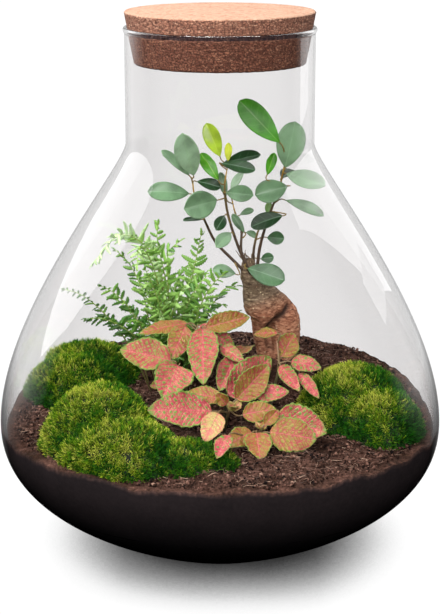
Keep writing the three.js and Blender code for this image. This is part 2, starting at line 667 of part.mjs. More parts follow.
// One frond: a bare stalk, then leaflets cut to the rib on both sides, longest below the middle.
function fernFrond({ route, bare, pairs, leaflet, twist }) {
  const curve = routeCurve(route);
  const reach = curve.getPoint(1).sub(curve.getPoint(0)).setZ(0).normalize();
  const level = reach.clone().cross(new THREE.Vector3(0, 0, 1));
  const across = level.applyAxisAngle(curve.getTangent((1 + bare) / 2), radians(twist));
  const frame = (place) => {
    const run = curve.getTangentAt(place);
    const up = across.clone().cross(run).normalize();
    return { centre: curve.getPointAt(place), run, up, side: run.clone().cross(up) };
  };
  const points = [];
  const offsets = [];
  const triangles = [];
  const add = ({ centre, run, up, side }, forward, sideways, drop, thick = FROND_THICKNESS) => {
    const point = centre.clone().addScaledVector(run, forward).addScaledVector(side, sideways);
    points.push(point.addScaledVector(up, -drop));
    offsets.push(up.clone().multiplyScalar(thick / 2));
    return points.length - 1;
  };
  const ribAt = (place, thick) => {
    const here = frame(place);
    return { right: add(here, 0, -FROND_RIB, 0, thick), left: add(here, 0, FROND_RIB, 0, thick) };
  };
  const leafletPlace = (k) => THREE.MathUtils.lerp(bare, BLADE_END, k / pairs);
  const rib = [];
  for (let k = 0; k < STALK_STEPS; k++) {
    rib.push(ribAt((bare * k) / STALK_STEPS, FROND_STALK));
  }
  for (let k = 0; k <= pairs; k++) {
    rib.push(ribAt(leafletPlace(k), FROND_THICKNESS));
  }
  for (let k = 1; k < rib.length; k++) {
    const [a, b] = [rib[k - 1], rib[k]];
    triangles.push([a.right, a.left, b.left], [a.right, b.left, b.right]);
  }
  const halfWide = (LEAFLET.wide * curve.getLength() * (BLADE_END - bare)) / pairs / 2;
  for (let k = 0; k < pairs; k++) {
    const here = frame(leafletPlace(k + 0.5));
    const size = leaflet * leafletShare((k + 0.5) / pairs);
    const sweep = LEAFLET.sweep * size;
    const [near, far] = [rib[STALK_STEPS + k], rib[STALK_STEPS + k + 1]];
    for (const [hand, root, next] of [[1, near.left, far.left], [-1, far.right, near.right]]) {
      const middle = hand * (FROND_RIB + size / 2);
      const first = add(here, sweep - hand * halfWide, middle, LEAFLET.droop * size);
      const second = add(here, sweep + hand * halfWide, middle, LEAFLET.droop * size);
      const tip = add(here, 2 * sweep, hand * (FROND_RIB + size), LEAFLET.tipDroop * size);
      triangles.push([root, first, second], [root, second, next], [first, tip, second]);
    }
  }
  const last = rib[rib.length - 1];
  triangles.push([last.right, last.left, add(frame(1), 1, 0, 0)]);
  return thicken(points, offsets, triangles);
}

// ---------------------------------------------------------------- the whole

const FINISH = {
  glass: { color: 0xe9ecec, roughness: 0.03, metalness: 0 },
  cork: { color: 0xb98a63, roughness: 0.85, metalness: 0 },
  soil: { color: 0x3b2a22, roughness: 0.95, metalness: 0 },
  moss: { color: 0x5d7f1f, roughness: 0.9, metalness: 0 },
  bark: { color: 0x86705c, roughness: 0.8, metalness: 0 },
  ficus: { color: 0x3f7045, roughness: 0.35, metalness: 0 },
  fern: { color: 0x5a9a3a, roughness: 0.5, metalness: 0 },
  fittonia: { color: 0xd9646a, roughness: 0.5, metalness: 0 },
};

const terrarium = new THREE.Group();

function addPiece(name, geometry, finish) {
  const piece = new THREE.Mesh(geometry, new THREE.MeshStandardMaterial(FINISH[finish]));
  piece.name = name;
  terrarium.add(piece);
}

const STEM_RADII = { ficus: [1.5, 1.4, 1.1, 0.9], fittonia: [1.3, 1.2, 1.1] };

function build() {
  const ground = soilBody();
  const holes = ficusLegs(GAP);
  for (const { route } of FITTONIA_STEMS) {
    holes.push(stemHole(route, SOIL_HOLE_DEPTH, STEM_RADII.fittonia[0] + HOLE_SLACK));
  }
  for (const { route } of FERN_FRONDS) {
    holes.push(stemHole(route, SOIL_HOLE_DEPTH, FROND_RIB + HOLE_SLACK));
  }

  addPiece('glass_vessel', glassVessel(), 'glass');
  addPiece('cork_stopper', corkStopper(), 'cork');
  addPiece('potting_soil', geometryOf(cut(ground, holes)), 'soil');
  for (const [name, lobes] of Object.entries(MOSS)) {
    addPiece(name, geometryOf(mossCushion(lobes, ground)), 'moss');
  }
  const socket = STEM_RADII.ficus[0] + GAP;
  const sockets = FICUS_STEMS.map(({ route }) => stemHole(route, STUMP_HOLE_DEPTH, socket));
  addPiece('ficus_trunk', geometryOf(cut(fuse(ficusLegs(0)), sockets)), 'bark');
  FICUS_STEMS.forEach((stem, i) => {
    const body = leafyStem(stem, STEM_RADII.ficus, FICUS_LEAF);
    addPiece(`ficus_leafy_stem_${i + 1}`, geometryOf(body), 'ficus');
  });
  FERN_FRONDS.forEach((frond, i) => addPiece(`fern_frond_${i + 1}`, fernFrond(frond), 'fern'));
  FITTONIA_STEMS.forEach((stem, i) => {
    const body = leafyStem(stem, STEM_RADII.fittonia, FITTONIA_LEAF);
    addPiece(`fittonia_leafy_stem_${i + 1}`, geometryOf(body), 'fittonia');
  });
}

build();

export default terrarium;
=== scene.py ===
"""The looks of a planted glass terrarium: blown glass, a cork stopper, soil, moss and three plants."""

import functools
import math

import bpy
import numpy as np
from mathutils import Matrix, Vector, noise


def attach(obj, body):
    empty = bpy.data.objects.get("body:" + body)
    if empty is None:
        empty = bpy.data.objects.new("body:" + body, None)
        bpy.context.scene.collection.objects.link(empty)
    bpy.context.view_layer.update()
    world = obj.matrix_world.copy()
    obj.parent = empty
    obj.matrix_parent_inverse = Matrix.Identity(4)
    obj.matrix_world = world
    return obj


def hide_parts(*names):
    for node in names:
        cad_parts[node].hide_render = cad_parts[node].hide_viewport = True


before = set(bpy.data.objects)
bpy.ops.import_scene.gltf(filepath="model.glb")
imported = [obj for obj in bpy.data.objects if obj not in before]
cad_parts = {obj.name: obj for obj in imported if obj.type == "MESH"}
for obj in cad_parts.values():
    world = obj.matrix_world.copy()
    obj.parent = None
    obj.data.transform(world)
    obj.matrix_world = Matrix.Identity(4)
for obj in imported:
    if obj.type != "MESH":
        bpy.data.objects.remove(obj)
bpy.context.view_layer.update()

MM = 0.001  # every size below is in millimetres, and the meshes are in metres
LIT = bpy.data.collections.new("lit_by_lamps")  # all but the glass, in which no lamp is mirrored
GLASS = bpy.data.collections.new("glass_alone")  # in which two small cards are mirrored
rng = np.random.default_rng(41)

# ---------------------------------------------------------------- sizes shared with the solids

BELLY_RADIUS = 140
BELLY_HEIGHT = 79
FOOT_RADIUS = 54
FOOT_RING = 10
PUSH_UP = 1.5
PUSH_UP_SLOPE = 5
NECK_RADIUS = 58
NECK_HEIGHT = 257
RIM_HEIGHT = 327.5
RIM_TALL = 4
RIM_BULGE = 0.8
BASE_WALL = 6
BELLY_WALL = 3
NECK_WALL = 1.4
THICK_BELOW = 40
FLOOR_RADIUS = 48
LOWER_CURVE = [(54, 0), (96, 19), (140, 38), (140, 79)]
UPPER_CURVE = [(140, 79), (140, 147), (58, 243), (58, 257)]

CORK_TOP_HEIGHT = 337
CORK_TALL = 31.3
CORK_TAPER = 0.178
CORK_CHAMFER = 0.8

SOIL_LEVEL = 80
SOIL_BACK_RISE = 14
SOIL_HEAP = {"x": 43, "y": 60, "rise": 13, "spread": 16}  # round the foot of the ficus
GAP = 0.35

# Domed lobes: [x, y, half length, half depth, top]
MOSS = {
    "moss_cushion_left": [
        [-90, 56, 40, 30, 111],
        [-96, 30, 36, 28, 109],
        [-76, 50, 20, 18, 103],
    ],
    "moss_cushion_front": [
        [-72, -60, 36, 38, 118],
        [-58, -88, 38, 32, 106],
        [-23, -92, 34, 20, 94],
    ],
    "moss_cushion_right": [
        [86, -12, 38, 39, 115],
        [100, -36, 27, 31, 107],
    ],
}
MOSS_REACH = 133
MOSS_FOOT = SOIL_LEVEL - 2
MOSS_INSET = 2.6  # how far the mat lies inside the solid, under the shoots

# The two swollen root legs: a route and the radii along it
FICUS_LEGS = [
    (
        [[18, 42, 172], [20, 44, 160], [25, 47, 150], [32, 50, 143], [39, 53, 136], [43.5, 55, 128],
         [44, 57, 118], [43, 58, 108], [41.5, 59, 97], [41, 60, 86], [41, 61, 80]],
        [3.8, 6, 8.2, 9, 9.3, 9.6, 10.2, 10, 9, 8, 7.5],
    ),
    (
        [[22, 46, 158], [23, 47, 150], [26, 48, 142], [28.5, 49, 134], [27.5, 51, 127],
         [27, 53, 120], [28.5, 56, 110], [30, 58, 98], [31, 60, 84]],
        [6, 7.6, 9, 10.4, 11.2, 10.8, 8.6, 6.8, 6, 5.4, 5, 4.6, 4.4, 4.2, 4, 4, 3.8],
    ),
]

# The crease under the bulge, where the limbs part; the skin is pushed in along it and painted dark there as
# painted shade
ROOT_FOLD = [[46, 46, 139], [42, 45, 134], [37, 44, 130], [33, 45, 126], [32, 47, 118], [33, 50, 108]]

# Leafy stems: a route, then leaves of (place on the stem, base, heading, rise, length, width, tilt,
# tone). A ficus leaf's tone goes from 0, old and blue-green, to 1, young and yellow-green.
FICUS_STEMS = [
    ([[17, 41, 163], [7, 41, 173], [-3, 40, 184], [-10, 37, 199], [-16, 32, 215], [-18, 27, 229]], [
        (0.99, [-17, 24, 231], -110, 57, 33, 16, 100, 0.2),
        (0.95, [-20, 25, 231], -150, 46, 25, 7, 50, 0.16),
        (0.8, [-20, 29, 218], -150, 12, 28, 13, 60, 0.1),
        (0.62, [-12, 31, 201], -165, 4, 12, 5, 20, 0.0),
        (0.9, [-15, 34, 225], 5, -12, 16, 8, 50, 0.0),
        (0.14, [10, 34, 164], -170, 15, 15, 9, 75, 0.15),
    ]),
    ([[20, 38, 163], [12, 38, 181], [5, 36, 204], [3, 32, 222], [5, 29, 237]], [
        (0.98, [0, 28, 243], -160, 67, 23, 11, 85, 0.95),
        (0.99, [5, 28, 240], -80, 78, 12, 5, 100, 1.0),
        (0.95, [2, 31, 237], 5, 19, 25, 11, 35, 0.0),
        (0.97, [1, 27, 238], -15, -6, 22, 9, 55, 0.02),
        (0.82, [-1, 28, 227], 170, 57, 21, 9, 80, 0.75),
        (0.7, [-2, 28, 214], -140, -4, 25, 18, 80, 0.12),
        (0.72, [4, 28, 219], -30, 2, 19, 11, 65, 0.1),
        (0.45, [3, 31, 203], -110, -18, 14, 8, 70, 0.0),
        (0.35, [7, 34, 191], -120, -12, 17, 9, 60, 0.15),
        (0.1, [18, 33, 168], -25, -10, 26, 15, 60, 0.05),
    ]),
    ([[24, 41, 160], [26, 40, 180], [32, 35, 203], [38, 28, 222], [41, 19, 240]], [
        (0.97, [37, 10, 255], 172, 46, 36, 16, 80, 0.55),
        (0.98, [41, 14, 238], -45, 74, 30, 19, 96, 0.13),
        (0.9, [42, 20, 233], -38, -4, 28, 14, 55, 0.15),
        (0.88, [40, 30, 228], 60, 15, 18, 12, 0, 0.0),
        (0.82, [30, 21, 232], -20, 72, 15, 6.5, 90, 0.6),
        (0.78, [43, 24, 224], -165, -12, 21, 15, 78, 0.1),
        (0.62, [42, 29, 214], -30, -8, 27, 8.5, 40, 0.1),
        (0.55, [40, 28, 204], -170, -14, 21, 12, 55, 0.0),
    ]),
    ([[18, 46, 163], [14, 49, 176], [14, 52, 190], [10, 55, 200], [8, 57, 208]], [
        (0.98, [8, 58, 211], 60, 58, 18, 11, -20, 0.2),
        (0.95, [4, 50, 212], 180, 76, 16, 6, 90, 0.15),
        (0.7, [13, 57, 198], 10, 25, 10, 5, 30, 0.1),
        (0.5, [17, 54, 187], 20, -20, 9, 6, 40, 0.1),
        (0.45, [16, 50, 188], 180, 57, 14, 5.5, 80, 0.1),
    ]),
    ([[24, 47, 158], [22, 47, 173], [24, 47, 186], [28, 47, 197]], [
        (0.98, [31, 46, 201], 0, 80, 8, 5, 90, 0.35),
        (0.65, [31, 44, 186], -20, 2, 11, 9, 75, 0.05),
        (0.35, [27, 47, 171], -15, 10, 8.5, 7, 75, 0.05),
    ]),
]

# As above. A fittonia leaf's tone goes from 0, coral pink, to 1, olive with thin pink veins, and 2
# is the cream of the youngest leaf.
FITTONIA_STEMS = [
    ([[-6, 6, 78], [-9, 8, 102], [-13, 10, 133]], [
        (0.97, [-13, 13, 135], -15, -26, 26, 13, 60, 0.15),
        (0.98, [-21, 11, 137], -158, 0, 32, 12, 30, 0.85),
        (0.95, [-22, 8, 136], -108, -25, 26, 16, 70, 0.6),
        (0.97, [-11, 3, 136], -89, -26, 44, 20, 72, 0.12),
        (0.99, [-9, 11, 134], 5, 16, 29, 14, 55, 1.0),
    ]),
    ([[-16, -10, 76], [-20, -12, 95], [-27, -13, 114]], [
        (0.75, [-26, -5, 107], 125, 4, 22, 13, 0, 0.5),
        (0.97, [-31, -14, 120], 175, 14, 33, 22, 55, 0.35),
        (0.8, [-29, -17, 108], -165, -5, 15, 9, 50, 0.6),
        (0.95, [-26, -19, 118], -105, -15, 27, 25, 72, 0.05),
    ]),
    ([[3, -12, 76], [4, -9, 98], [5, -4, 120]], [
        (0.8, [9, 3, 117], 62, 8, 25, 15, 0, 0.6),
        (0.99, [1, -3, 126], -52, -8, 20, 10, 50, 0.15),
        (0.9, [9, -8, 120], -108, -22, 29, 15, 70, 0.1),
    ]),
    ([[2, -30, 75], [4, -36, 88], [6, -42, 98]], [
        (0.9, [5, -37, 105], 25, 33, 38, 23, 78, 0.05),
        (0.98, [10, -45, 105], 20, 42, 29, 18, 82, 0.75),
        (0.9, [1, -42, 104], 176, 14, 22, 13, 45, 0.6),
        (0.85, [-5, -53, 100], -158, 11, 40, 23, 50, 0.05),
        (0.99, [4, -49, 103], -160, 50, 10, 8, 70, 0.95),
        (0.8, [-1, -54, 99], -108, -16, 24, 14, 60, 2.0),
        (0.85, [22, -40, 106], -14, 14, 20, 12, 55, 0.15),
        (0.95, [14, -51, 97], -8, 16, 20, 14, 55, 0.9),
    ]),
    ([[20, -50, 73], [22, -56, 82], [24, -61, 90]], [
        (0.9, [19, -66, 91], -136, -2, 19, 13, 50, 0.95),
        (0.95, [22, -67, 91], -86, -16, 20, 17, 60, 0.8),
        (0.99, [27, -63, 95], 20, 45, 12, 8, 60, 0.95),
        (0.9, [30, -66, 91], -20, 2, 28, 22, 50, 0.65),
        (0.8, [34, -56, 97], -24, -6, 31, 23, 60, 0.1),
        (0.6, [5, -85, 96], -110, -8, 20, 10, 10, 0.0),
    ]),
    ([[30, -16, 76], [33, -14, 96], [37, -12, 115], [36, -8, 131]], [
        (0.9, [40, -6, 124], 60, 60, 11, 8, 80, 0.4),
        (0.98, [36, -8, 136], 165, 3, 15, 8, 30, 0.9),
        (0.8, [39, -9, 121], 45, 48, 18, 15, 75, 0.75),
        (0.72, [38, -18, 118], -66, -18, 25, 10, 70, 0.1),
        (0.75, [45, -13, 119], -30, 3, 19, 12, 50, 0.1),
        (0.7, [50, -18, 113], -66, -14, 24, 8, 60, 0.1),
    ]),
]

# The youngest leaves, folded together at the tips of two stems: [where, number, length, tone]
FITTONIA_BUDS = [([8.5, -47, 98.5], 7, 7.5, 1.7), ([25, -61.5, 91.5], 5, 6, 1.6)]

# Fronds: route, bare share of the stalk, length of the longest leaflet, twist of the blade, and
# tone from 0, dark green, to 1, pale green.
FERN_FRONDS = [
    ([[-37, 47, 84], [-36, 46, 130], [-45, 42, 176], [-64, 36, 190], [-84, 22, 172]], 0.55, 13, 50, 1.0),
    ([[-35, 55, 85], [-36, 56, 138], [-46, 56, 176], [-61, 52, 187], [-75, 46, 186]], 0.6, 6, 20, 0.9),
    ([[-29, 54, 85], [-31, 59, 120], [-38, 63, 160], [-42, 62, 180], [-41, 59, 194]], 0.52, 11, 80, 0.6),
    ([[-31, 40, 84], [-33, 38, 124], [-34, 34, 160], [-33, 30, 180], [-24, 26, 189]], 0.5, 10, 70, 0.6),
    ([[-35, 38, 84], [-38, 35, 140], [-44, 29, 172], [-51, 18, 186], [-53, 6, 174]], 0.56, 10, 30, 0.8),
    ([[-42, 45, 84], [-46, 46, 120], [-53, 50, 152], [-62, 54, 168], [-72, 58, 176]], 0.36, 8, 60, 0.4),
    ([[-45, 34, 82], [-62, 26, 122], [-78, 16, 146], [-90, 8, 158], [-101, 2, 163]], 0.34, 5.5, 60, 0.05),
    ([[-40, 37, 83], [-50, 32, 124], [-60, 27, 144], [-70, 21, 156], [-78, 14, 162]], 0.35, 9, 50, 0.25),
    ([[-36, 29, 82], [-48, 22, 116], [-61, 13, 133], [-75, 5, 142], [-87, -2, 144]], 0.35, 9, 30, 0.1),
    ([[-47, 43, 84], [-55, 44, 110], [-67, 43, 127], [-79, 40, 133], [-89, 36, 132]], 0.35, 8, 20, 0.0),
    ([[-21, 45, 84], [-22, 50, 114], [-21, 52, 143], [-16, 52, 169], [-12, 50, 189]], 0.38, 11, 85, 0.5),
    ([[-29, 32, 82], [-34, 27, 124], [-39, 20, 147], [-44, 13, 164], [-48, 6, 176]], 0.36, 8, 70, 0.5),
    ([[-22, 32, 82], [-19, 30, 120], [-13, 26, 144], [-5, 21, 160], [4, 16, 170]], 0.36, 10, -60, 0.5),
    ([[-20, 48, 84], [-14, 54, 116], [-5, 60, 136], [4, 66, 146], [14, 72, 146]], 0.36, 10, -30, 0.3),
    ([[-33, 59, 86], [-37, 66, 120], [-42, 73, 144], [-48, 79, 158], [-55, 83, 161]], 0.38, 10, 20, 0.4),
]

# ---------------------------------------------------------------- meshes


class Pile:
    """Gathers shapes into one mesh. `values` holds a number or a vector for each point."""

    def __init__(self):
        self.points = []
        self.faces = {3: [], 4: []}
        self.values = {}
        self.count = 0

    def add(self, points, faces, **values):
        points = np.asarray(points, float).reshape(-1, 3)
        for group in faces if isinstance(faces, list) else [faces]:
            self.faces[group.shape[-1]].append(group.reshape(-1, group.shape[-1]) + self.count)
        for name, value in values.items():
            value = np.asarray(value, float)
            shape = (len(points), 3) if value.shape[-1:] == (3,) else (len(points),)
            self.values.setdefault(name, []).append(np.broadcast_to(value, shape))
        self.points.append(points)
        self.count += len(points)
        return self

    def build(self, name, material, slot=None, replaces=(), lit=True):
        mesh = bpy.data.meshes.new(name)
        points = np.concatenate(self.points) * MM
        mesh.vertices.add(len(points))
        mesh.vertices.foreach_set("co", points.astype(np.float32).ravel())
        groups = [np.concatenate(g) for g in self.faces.values() if g]
        sizes = np.concatenate([np.full(len(g), g.shape[1]) for g in groups])
        corners = np.concatenate([g.ravel() for g in groups])
        mesh.loops.add(len(corners))
        mesh.loops.foreach_set("vertex_index", corners.astype(np.int32))
        mesh.polygons.add(len(sizes))
        starts = np.concatenate([[0], np.cumsum(sizes)[:-1]])
        mesh.polygons.foreach_set("loop_start", starts.astype(np.int32))
        mesh.update(calc_edges=True)
        mesh.shade_smooth()
        for key, parts in self.values.items():
            value = np.concatenate(parts).astype(np.float32)
            kind, field = ("FLOAT_VECTOR", "vector") if value.ndim == 2 else ("FLOAT", "value")
            mesh.attributes.new(key, kind, "POINT").data.foreach_set(field, value.ravel())
        mesh.materials.append(material)
        piece = bpy.data.objects.new(name, mesh)
        bpy.context.scene.collection.objects.link(piece)
        if lit:
            LIT.objects.link(piece)
        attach(piece, "root")
        if replaces:
            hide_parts(*replaces)
        return piece


def grid_faces(rows, columns, closed=False):
    """Quads over a grid of points. A closed one joins the last column to the first."""
    across = columns if closed else columns - 1
    i, j = np.meshgrid(np.arange(rows - 1), np.arange(across), indexing="ij")
    k = (j + 1) % columns
    corners = [i * columns + j, i * columns + k, (i + 1) * columns + k, (i + 1) * columns + j]
    return np.stack(corners, -1).reshape(-1, 4)


def fan(tip, start, count, flip=False):
    """Triangles from one point to a closed ring of points."""
    i = np.arange(count)
    ring = [start + i, start + (i + 1) % count]
    return np.stack([np.full(count, tip), *(ring[::-1] if flip else ring)], -1)


def polar(radius, angle, height):
    """Points at a distance from the middle axis, in a direction and at a height."""
    return np.stack(np.broadcast_arrays(radius * np.cos(angle), radius * np.sin(angle), height), -1)


def unit(vectors):
    return vectors / np.maximum(np.linalg.norm(vectors, axis=-1, keepdims=True), 1e-9)


def lathe(profile, segments):
    """A closed ring of a profile [(radius, height), ...] whose ends lie on the axis."""
    profile = np.asarray(profile, float)
    angles = np.arange(segments) * 2 * math.pi / segments
    body = profile[1:-1]
    rings = polar(body[:, :1], angles, body[:, 1:])
    points = np.concatenate([[[0, 0, profile[0, 1]]], rings.reshape(-1, 3), [[0, 0, profile[-1, 1]]]])
    last = len(points) - 1
    quads = grid_faces(len(body), segments, closed=True) + 1
    return points, [quads, fan(0, 1, segments, flip=True), fan(last, last - segments, segments)]


class Path:
    """A smooth centripetal curve through the points of a route, read by its share of length."""

    def __init__(self, route, steps=40):
        p = np.asarray(route, float)
        p = np.vstack([2 * p[0] - p[1], p, 2 * p[-1] - p[-2]])
        t = np.linspace(0, 1, steps, endpoint=False)[:, None]
        points = []
        for a, b, c, d in zip(p, p[1:], p[2:], p[3:]):
            u, v, w = (max(math.sqrt(np.linalg.norm(y - x)), 1e-2) for x, y in ((a, b), (b, c), (c, d)))
            m = ((b - a) / u - (c - a) / (u + v) + (c - b) / v) * v
            n = ((c - b) / v - (d - b) / (v + w) + (d - c) / w) * v
            points.append(b + m * t + (-3 * b + 3 * c - 2 * m - n) * t**2 + (2 * b - 2 * c + m + n) * t**3)
        self.points = np.vstack([*points, p[-2:-1]])
        lengths = np.linalg.norm(np.diff(self.points, axis=0), axis=1)
        self.reach = np.concatenate([[0], np.cumsum(lengths)])
        self.length = self.reach[-1]

    def at(self, share):
        place = np.asarray(share, float) * self.length
        return np.stack([np.interp(place, self.reach, self.points[:, i]) for i in range(3)], -1)

    def run(self, share):
        share = np.asarray(share, float)
        return unit(self.at(np.minimum(share + 0.01, 1)) - self.at(np.maximum(share - 0.01, 0)))


def tube(path, radii, sides, steps):
    """A round limb along a path, with its radii spread evenly, closed at both ends."""
    places = np.linspace(0, 1, steps + 1)
    centres, runs = path.at(places), path.run(places)
    radius = np.interp(places, np.linspace(0, 1, len(radii)), radii)
    side = unit(np.cross(runs[0], [0.3, 0.2, 0.9]))
    rings = []
    angles = np.arange(sides) * 2 * math.pi / sides
    for centre, run, r in zip(centres, runs, radius):
        side = unit(side - run * (side @ run))
        other = np.cross(run, side)
        rings.append(centre + r * (np.cos(angles)[:, None] * side + np.sin(angles)[:, None] * other))
    points = np.concatenate([centres[:1], np.concatenate(rings), centres[-1:]])
    last = len(points) - 1
    body = grid_faces(steps + 1, sides, closed=True) + 1
    faces = [body, fan(0, 1, sides, flip=True), fan(last, last - sides, sides)]
    place = np.concatenate([places[:1], np.repeat(places, sides), places[-1:]])
    return points, faces, place


def leaf_axes(heading, rise, tilt):
    h, r, t = (math.radians(a) for a in (heading, rise, tilt))
    out = np.array([math.cos(r) * math.cos(h), math.cos(r) * math.sin(h), math.sin(r)])
    across = unit(np.cross(out, [0, -math.sin(t), math.cos(t)]))
    return out, across, np.cross(across, out)


def sheet(pile, middle, thickness, **values):
    """A thin closed blade round a grid of points (rows, columns, 3)."""
    rows, columns = middle.shape[:2]
    along, across = np.gradient(middle, axis=0), np.gradient(middle, axis=1)
    offset = unit(np.cross(across, along)) * thickness / 2
    offset[[0, -1]] = offset[[1, -2]]
    count = rows * columns
    top = grid_faces(rows, columns)
    index = np.arange(count).reshape(rows, columns)
    edge = np.concatenate([index[0, :], index[1:, -1], index[-1, -2::-1], index[-2:0:-1, 0]])
    after = np.roll(edge, -1)
    wall = np.stack([after, edge, edge + count, after + count], -1)
    faces = [top, top[:, ::-1] + count, wall]
    both = {k: np.concatenate([v.reshape(count, -1), v.reshape(count, -1)]) for k, v in values.items()}
    both = {k: v[:, 0] if v.shape[1] == 1 else v for k, v in both.items()}
    back = np.concatenate([np.zeros(count), np.ones(count)])
    pile.add(np.concatenate([middle + offset, middle - offset]).reshape(-1, 3), faces, back=back, **both)


def lumps(points, size, seed=0.0):
    """Smooth noise from -1 to 1 with lumps of a size, at each point."""
    return np.array([noise.noise(p) for p in (np.asarray(points) / size + seed).tolist()])


# ---------------------------------------------------------------- materials


def rgb(hexcode):
    """An sRGB hex colour as a linear RGBA one."""
    parts = [int(hexcode[i : i + 2], 16) / 255 for i in (1, 3, 5)]
    return [c / 12.92 if c <= 0.04045 else ((c + 0.055) / 1.055) ** 2.4 for c in parts] + [1]


def node(tree, kind, *values, ramp=None, **settings):
    """Adds a node. Values fill its inputs in order, and those of a dict fill them by name. A node or
    a socket is linked, and a hex colour is turned to linear. A MapRange takes the value, the range
    that it comes from and the range that it goes to."""
    made = tree.nodes.new("ShaderNode" + kind)
    for name, value in settings.items():
        setattr(made, name, value)
    inputs = {}
    for place, value in enumerate(values):
        inputs.update(value if isinstance(value, dict) else {place: value})
    for name, value in inputs.items():
        if isinstance(value, bpy.types.Node):
            value = value.outputs[0]
        if isinstance(value, bpy.types.NodeSocket):
            tree.links.new(value, made.inputs[name])
        else:
            made.inputs[name].default_value = rgb(value) if isinstance(value, str) else value
    if ramp:
        elements = made.color_ramp.elements
        while len(elements) < len(ramp):
            elements.new(0.5)
        for element, (place, colour) in zip(elements, ramp):
            element.position = place
            element.color = rgb(colour) if isinstance(colour, str) else (colour, colour, colour, 1)
    return made


def blank_material(name):
    """A material without nodes, and the function that adds one to it."""
    material = bpy.data.materials.new(name)
    material.use_nodes = True
    material.node_tree.nodes.clear()
    return material, functools.partial(node, material.node_tree)


def blown_glass():
    """Soda-lime glass, blown and fire-polished: clear and smooth, with a faint grey in its depth."""
    material, add = blank_material("blown_soda_lime_glass")
    glass = add("BsdfPrincipled", {
        "Base Color": "#f9f8f8", "Roughness": 0.0, "IOR": 1.5, "Transmission Weight": 1.0,
    })
    path = add("LightPath")
    clear = add("BsdfTransparent", "#fbfbfb")
    add("OutputMaterial", add("MixShader", path.outputs["Is Shadow Ray"], glass, clear))
    return material


def pressed_cork():
    """Agglomerated cork, pressed from granules of 1 to 2 mm and sanded: light grains, dark seams."""
    material, add = blank_material("pressed_cork_granules")
    place = add("TexCoord").outputs["Object"]
    height = add("SeparateXYZ", place).outputs["Z"]
    wander = add("TexNoise", place, {"Scale": 400.0, "Detail": 3.0})
    bent = add("VectorMath", wander.outputs["Color"], (0.0016, 0.0016, 0.0016), operation="MULTIPLY")
    spread = add("Mapping", place, {"Scale": (0.8, 0.8, 1.3)})
    spot = add("VectorMath", spread, bent, operation="ADD")
    grain = add("TexVoronoi", spot, {"Scale": 620.0})
    seam = add("TexVoronoi", spot, {"Scale": 620.0}, feature="DISTANCE_TO_EDGE")
    tint = add("ValToRGB", grain.outputs["Color"], ramp=[
        (0.0, "#7c5140"), (0.35, "#946450"), (0.7, "#a67760"), (1.0, "#ba9078"),
    ])
    gap = add("ValToRGB", seam.outputs["Distance"], ramp=[(0.0, 0.0), (0.16, 1.0)])
    pits = add("TexNoise", place, {"Scale": 900.0, "Detail": 2.0})
    pit = add("ValToRGB", pits, ramp=[(0.36, 0.0), (0.5, 1.0)])
    solid = add("Math", gap, pit, operation="MULTIPLY")
    raw = add("MixRGB", solid, "#55362b", tint)
    # the part in the neck is painted darker, as painted shade from the glass neck round it
    neck = add("MapRange", height, (RIM_HEIGHT - 5) * MM, (RIM_HEIGHT + 1) * MM)
    painted_neck_shade = add("MixRGB", 1.0, raw, "#cdbeb6", blend_type="MULTIPLY")
    raw = add("MixRGB", neck, painted_neck_shade, raw)
    # the sanded top face is paler, partly from its dust and partly as painted light from the lamp above, and
    # its pores show as fine orange specks
    speck = add("ValToRGB", grain.outputs["Color"], ramp=[
        (0.0, "#88553d"), (0.25, "#a17b64"), (1.0, "#ab8f7a"),
    ])
    sanded = add("MapRange", height, (CORK_TOP_HEIGHT - 1) * MM, (CORK_TOP_HEIGHT - 0.4) * MM, 0.0, 0.85)
    colour = add("MixRGB", sanded, raw, speck)
    # a painted shadow: a dark line on the cork where it meets the rim of the glass
    squeezed = add("Math", height, (RIM_HEIGHT - 1.8) * MM, 0.6 * MM, operation="COMPARE")
    painted_rim_shadow = add("MapRange", squeezed, 0.0, 1.0, 0.0, 0.8)
    colour = add("MixRGB", painted_rim_shadow, colour, "#14121c")
    bump = add("Bump", {"Strength": 0.8, "Distance": 0.0005, "Height": solid})
    skin = add("BsdfPrincipled", {
        "Base Color": colour, "Roughness": 0.85, "Specular IOR Level": 0.25, "Normal": bump,
    })
    add("OutputMaterial", skin)
    return material


def potting_soil():
    """Damp peat and coir: dark brown crumbs with paler fibres. Where it is pressed against the glass it is
    smoother, and painted darker as painted shade, darkest low down."""
    material, add = blank_material("damp_peat_and_coir")
    place = add("TexCoord").outputs["Object"]
    height = add("SeparateXYZ", place).outputs["Z"]
    crumbs = add("TexNoise", place, {"Scale": 420.0, "Detail": 5.0, "Roughness": 0.7})
    patches = add("TexNoise", place, {"Scale": 45.0, "Detail": 3.0})
    mixed = add("MixRGB", 0.35, crumbs, patches)
    tint, loose = (add("Attribute", attribute_name=name).outputs["Fac"] for name in ("tint", "loose"))
    shade = add("Math", mixed, tint, operation="ADD")
    top = add("ValToRGB", shade, ramp=[
        (0.32, "#0b0504"), (0.45, "#26170f"), (0.56, "#432d25"), (0.68, "#684b40"), (0.82, "#84685a"),
    ])
    # painted shade: the side against the glass is painted far darker than the top, and darkest low down
    painted_low_shade = add("ValToRGB", mixed, ramp=[(0.35, "#020203"), (0.65, "#060507")])
    pressed = add("ValToRGB", mixed, ramp=[(0.35, "#120e0f"), (0.65, "#1e1819")])
    low = add("MapRange", height, 0.03, 0.068)
    side = add("MixRGB", low, painted_low_shade, pressed)
    colour = add("MixRGB", loose, side, top)
    depth = add("MapRange", loose, 0.0, 1.0, 0.05 * MM, 0.9 * MM)
    bump = add("Bump", {"Strength": 1.0, "Distance": depth, "Height": crumbs})
    skin = add("BsdfPrincipled", {
        "Base Color": colour, "Roughness": 0.9, "Specular IOR Level": 0.1, "Normal": bump,
    })
    add("OutputMaterial", skin)
    return material


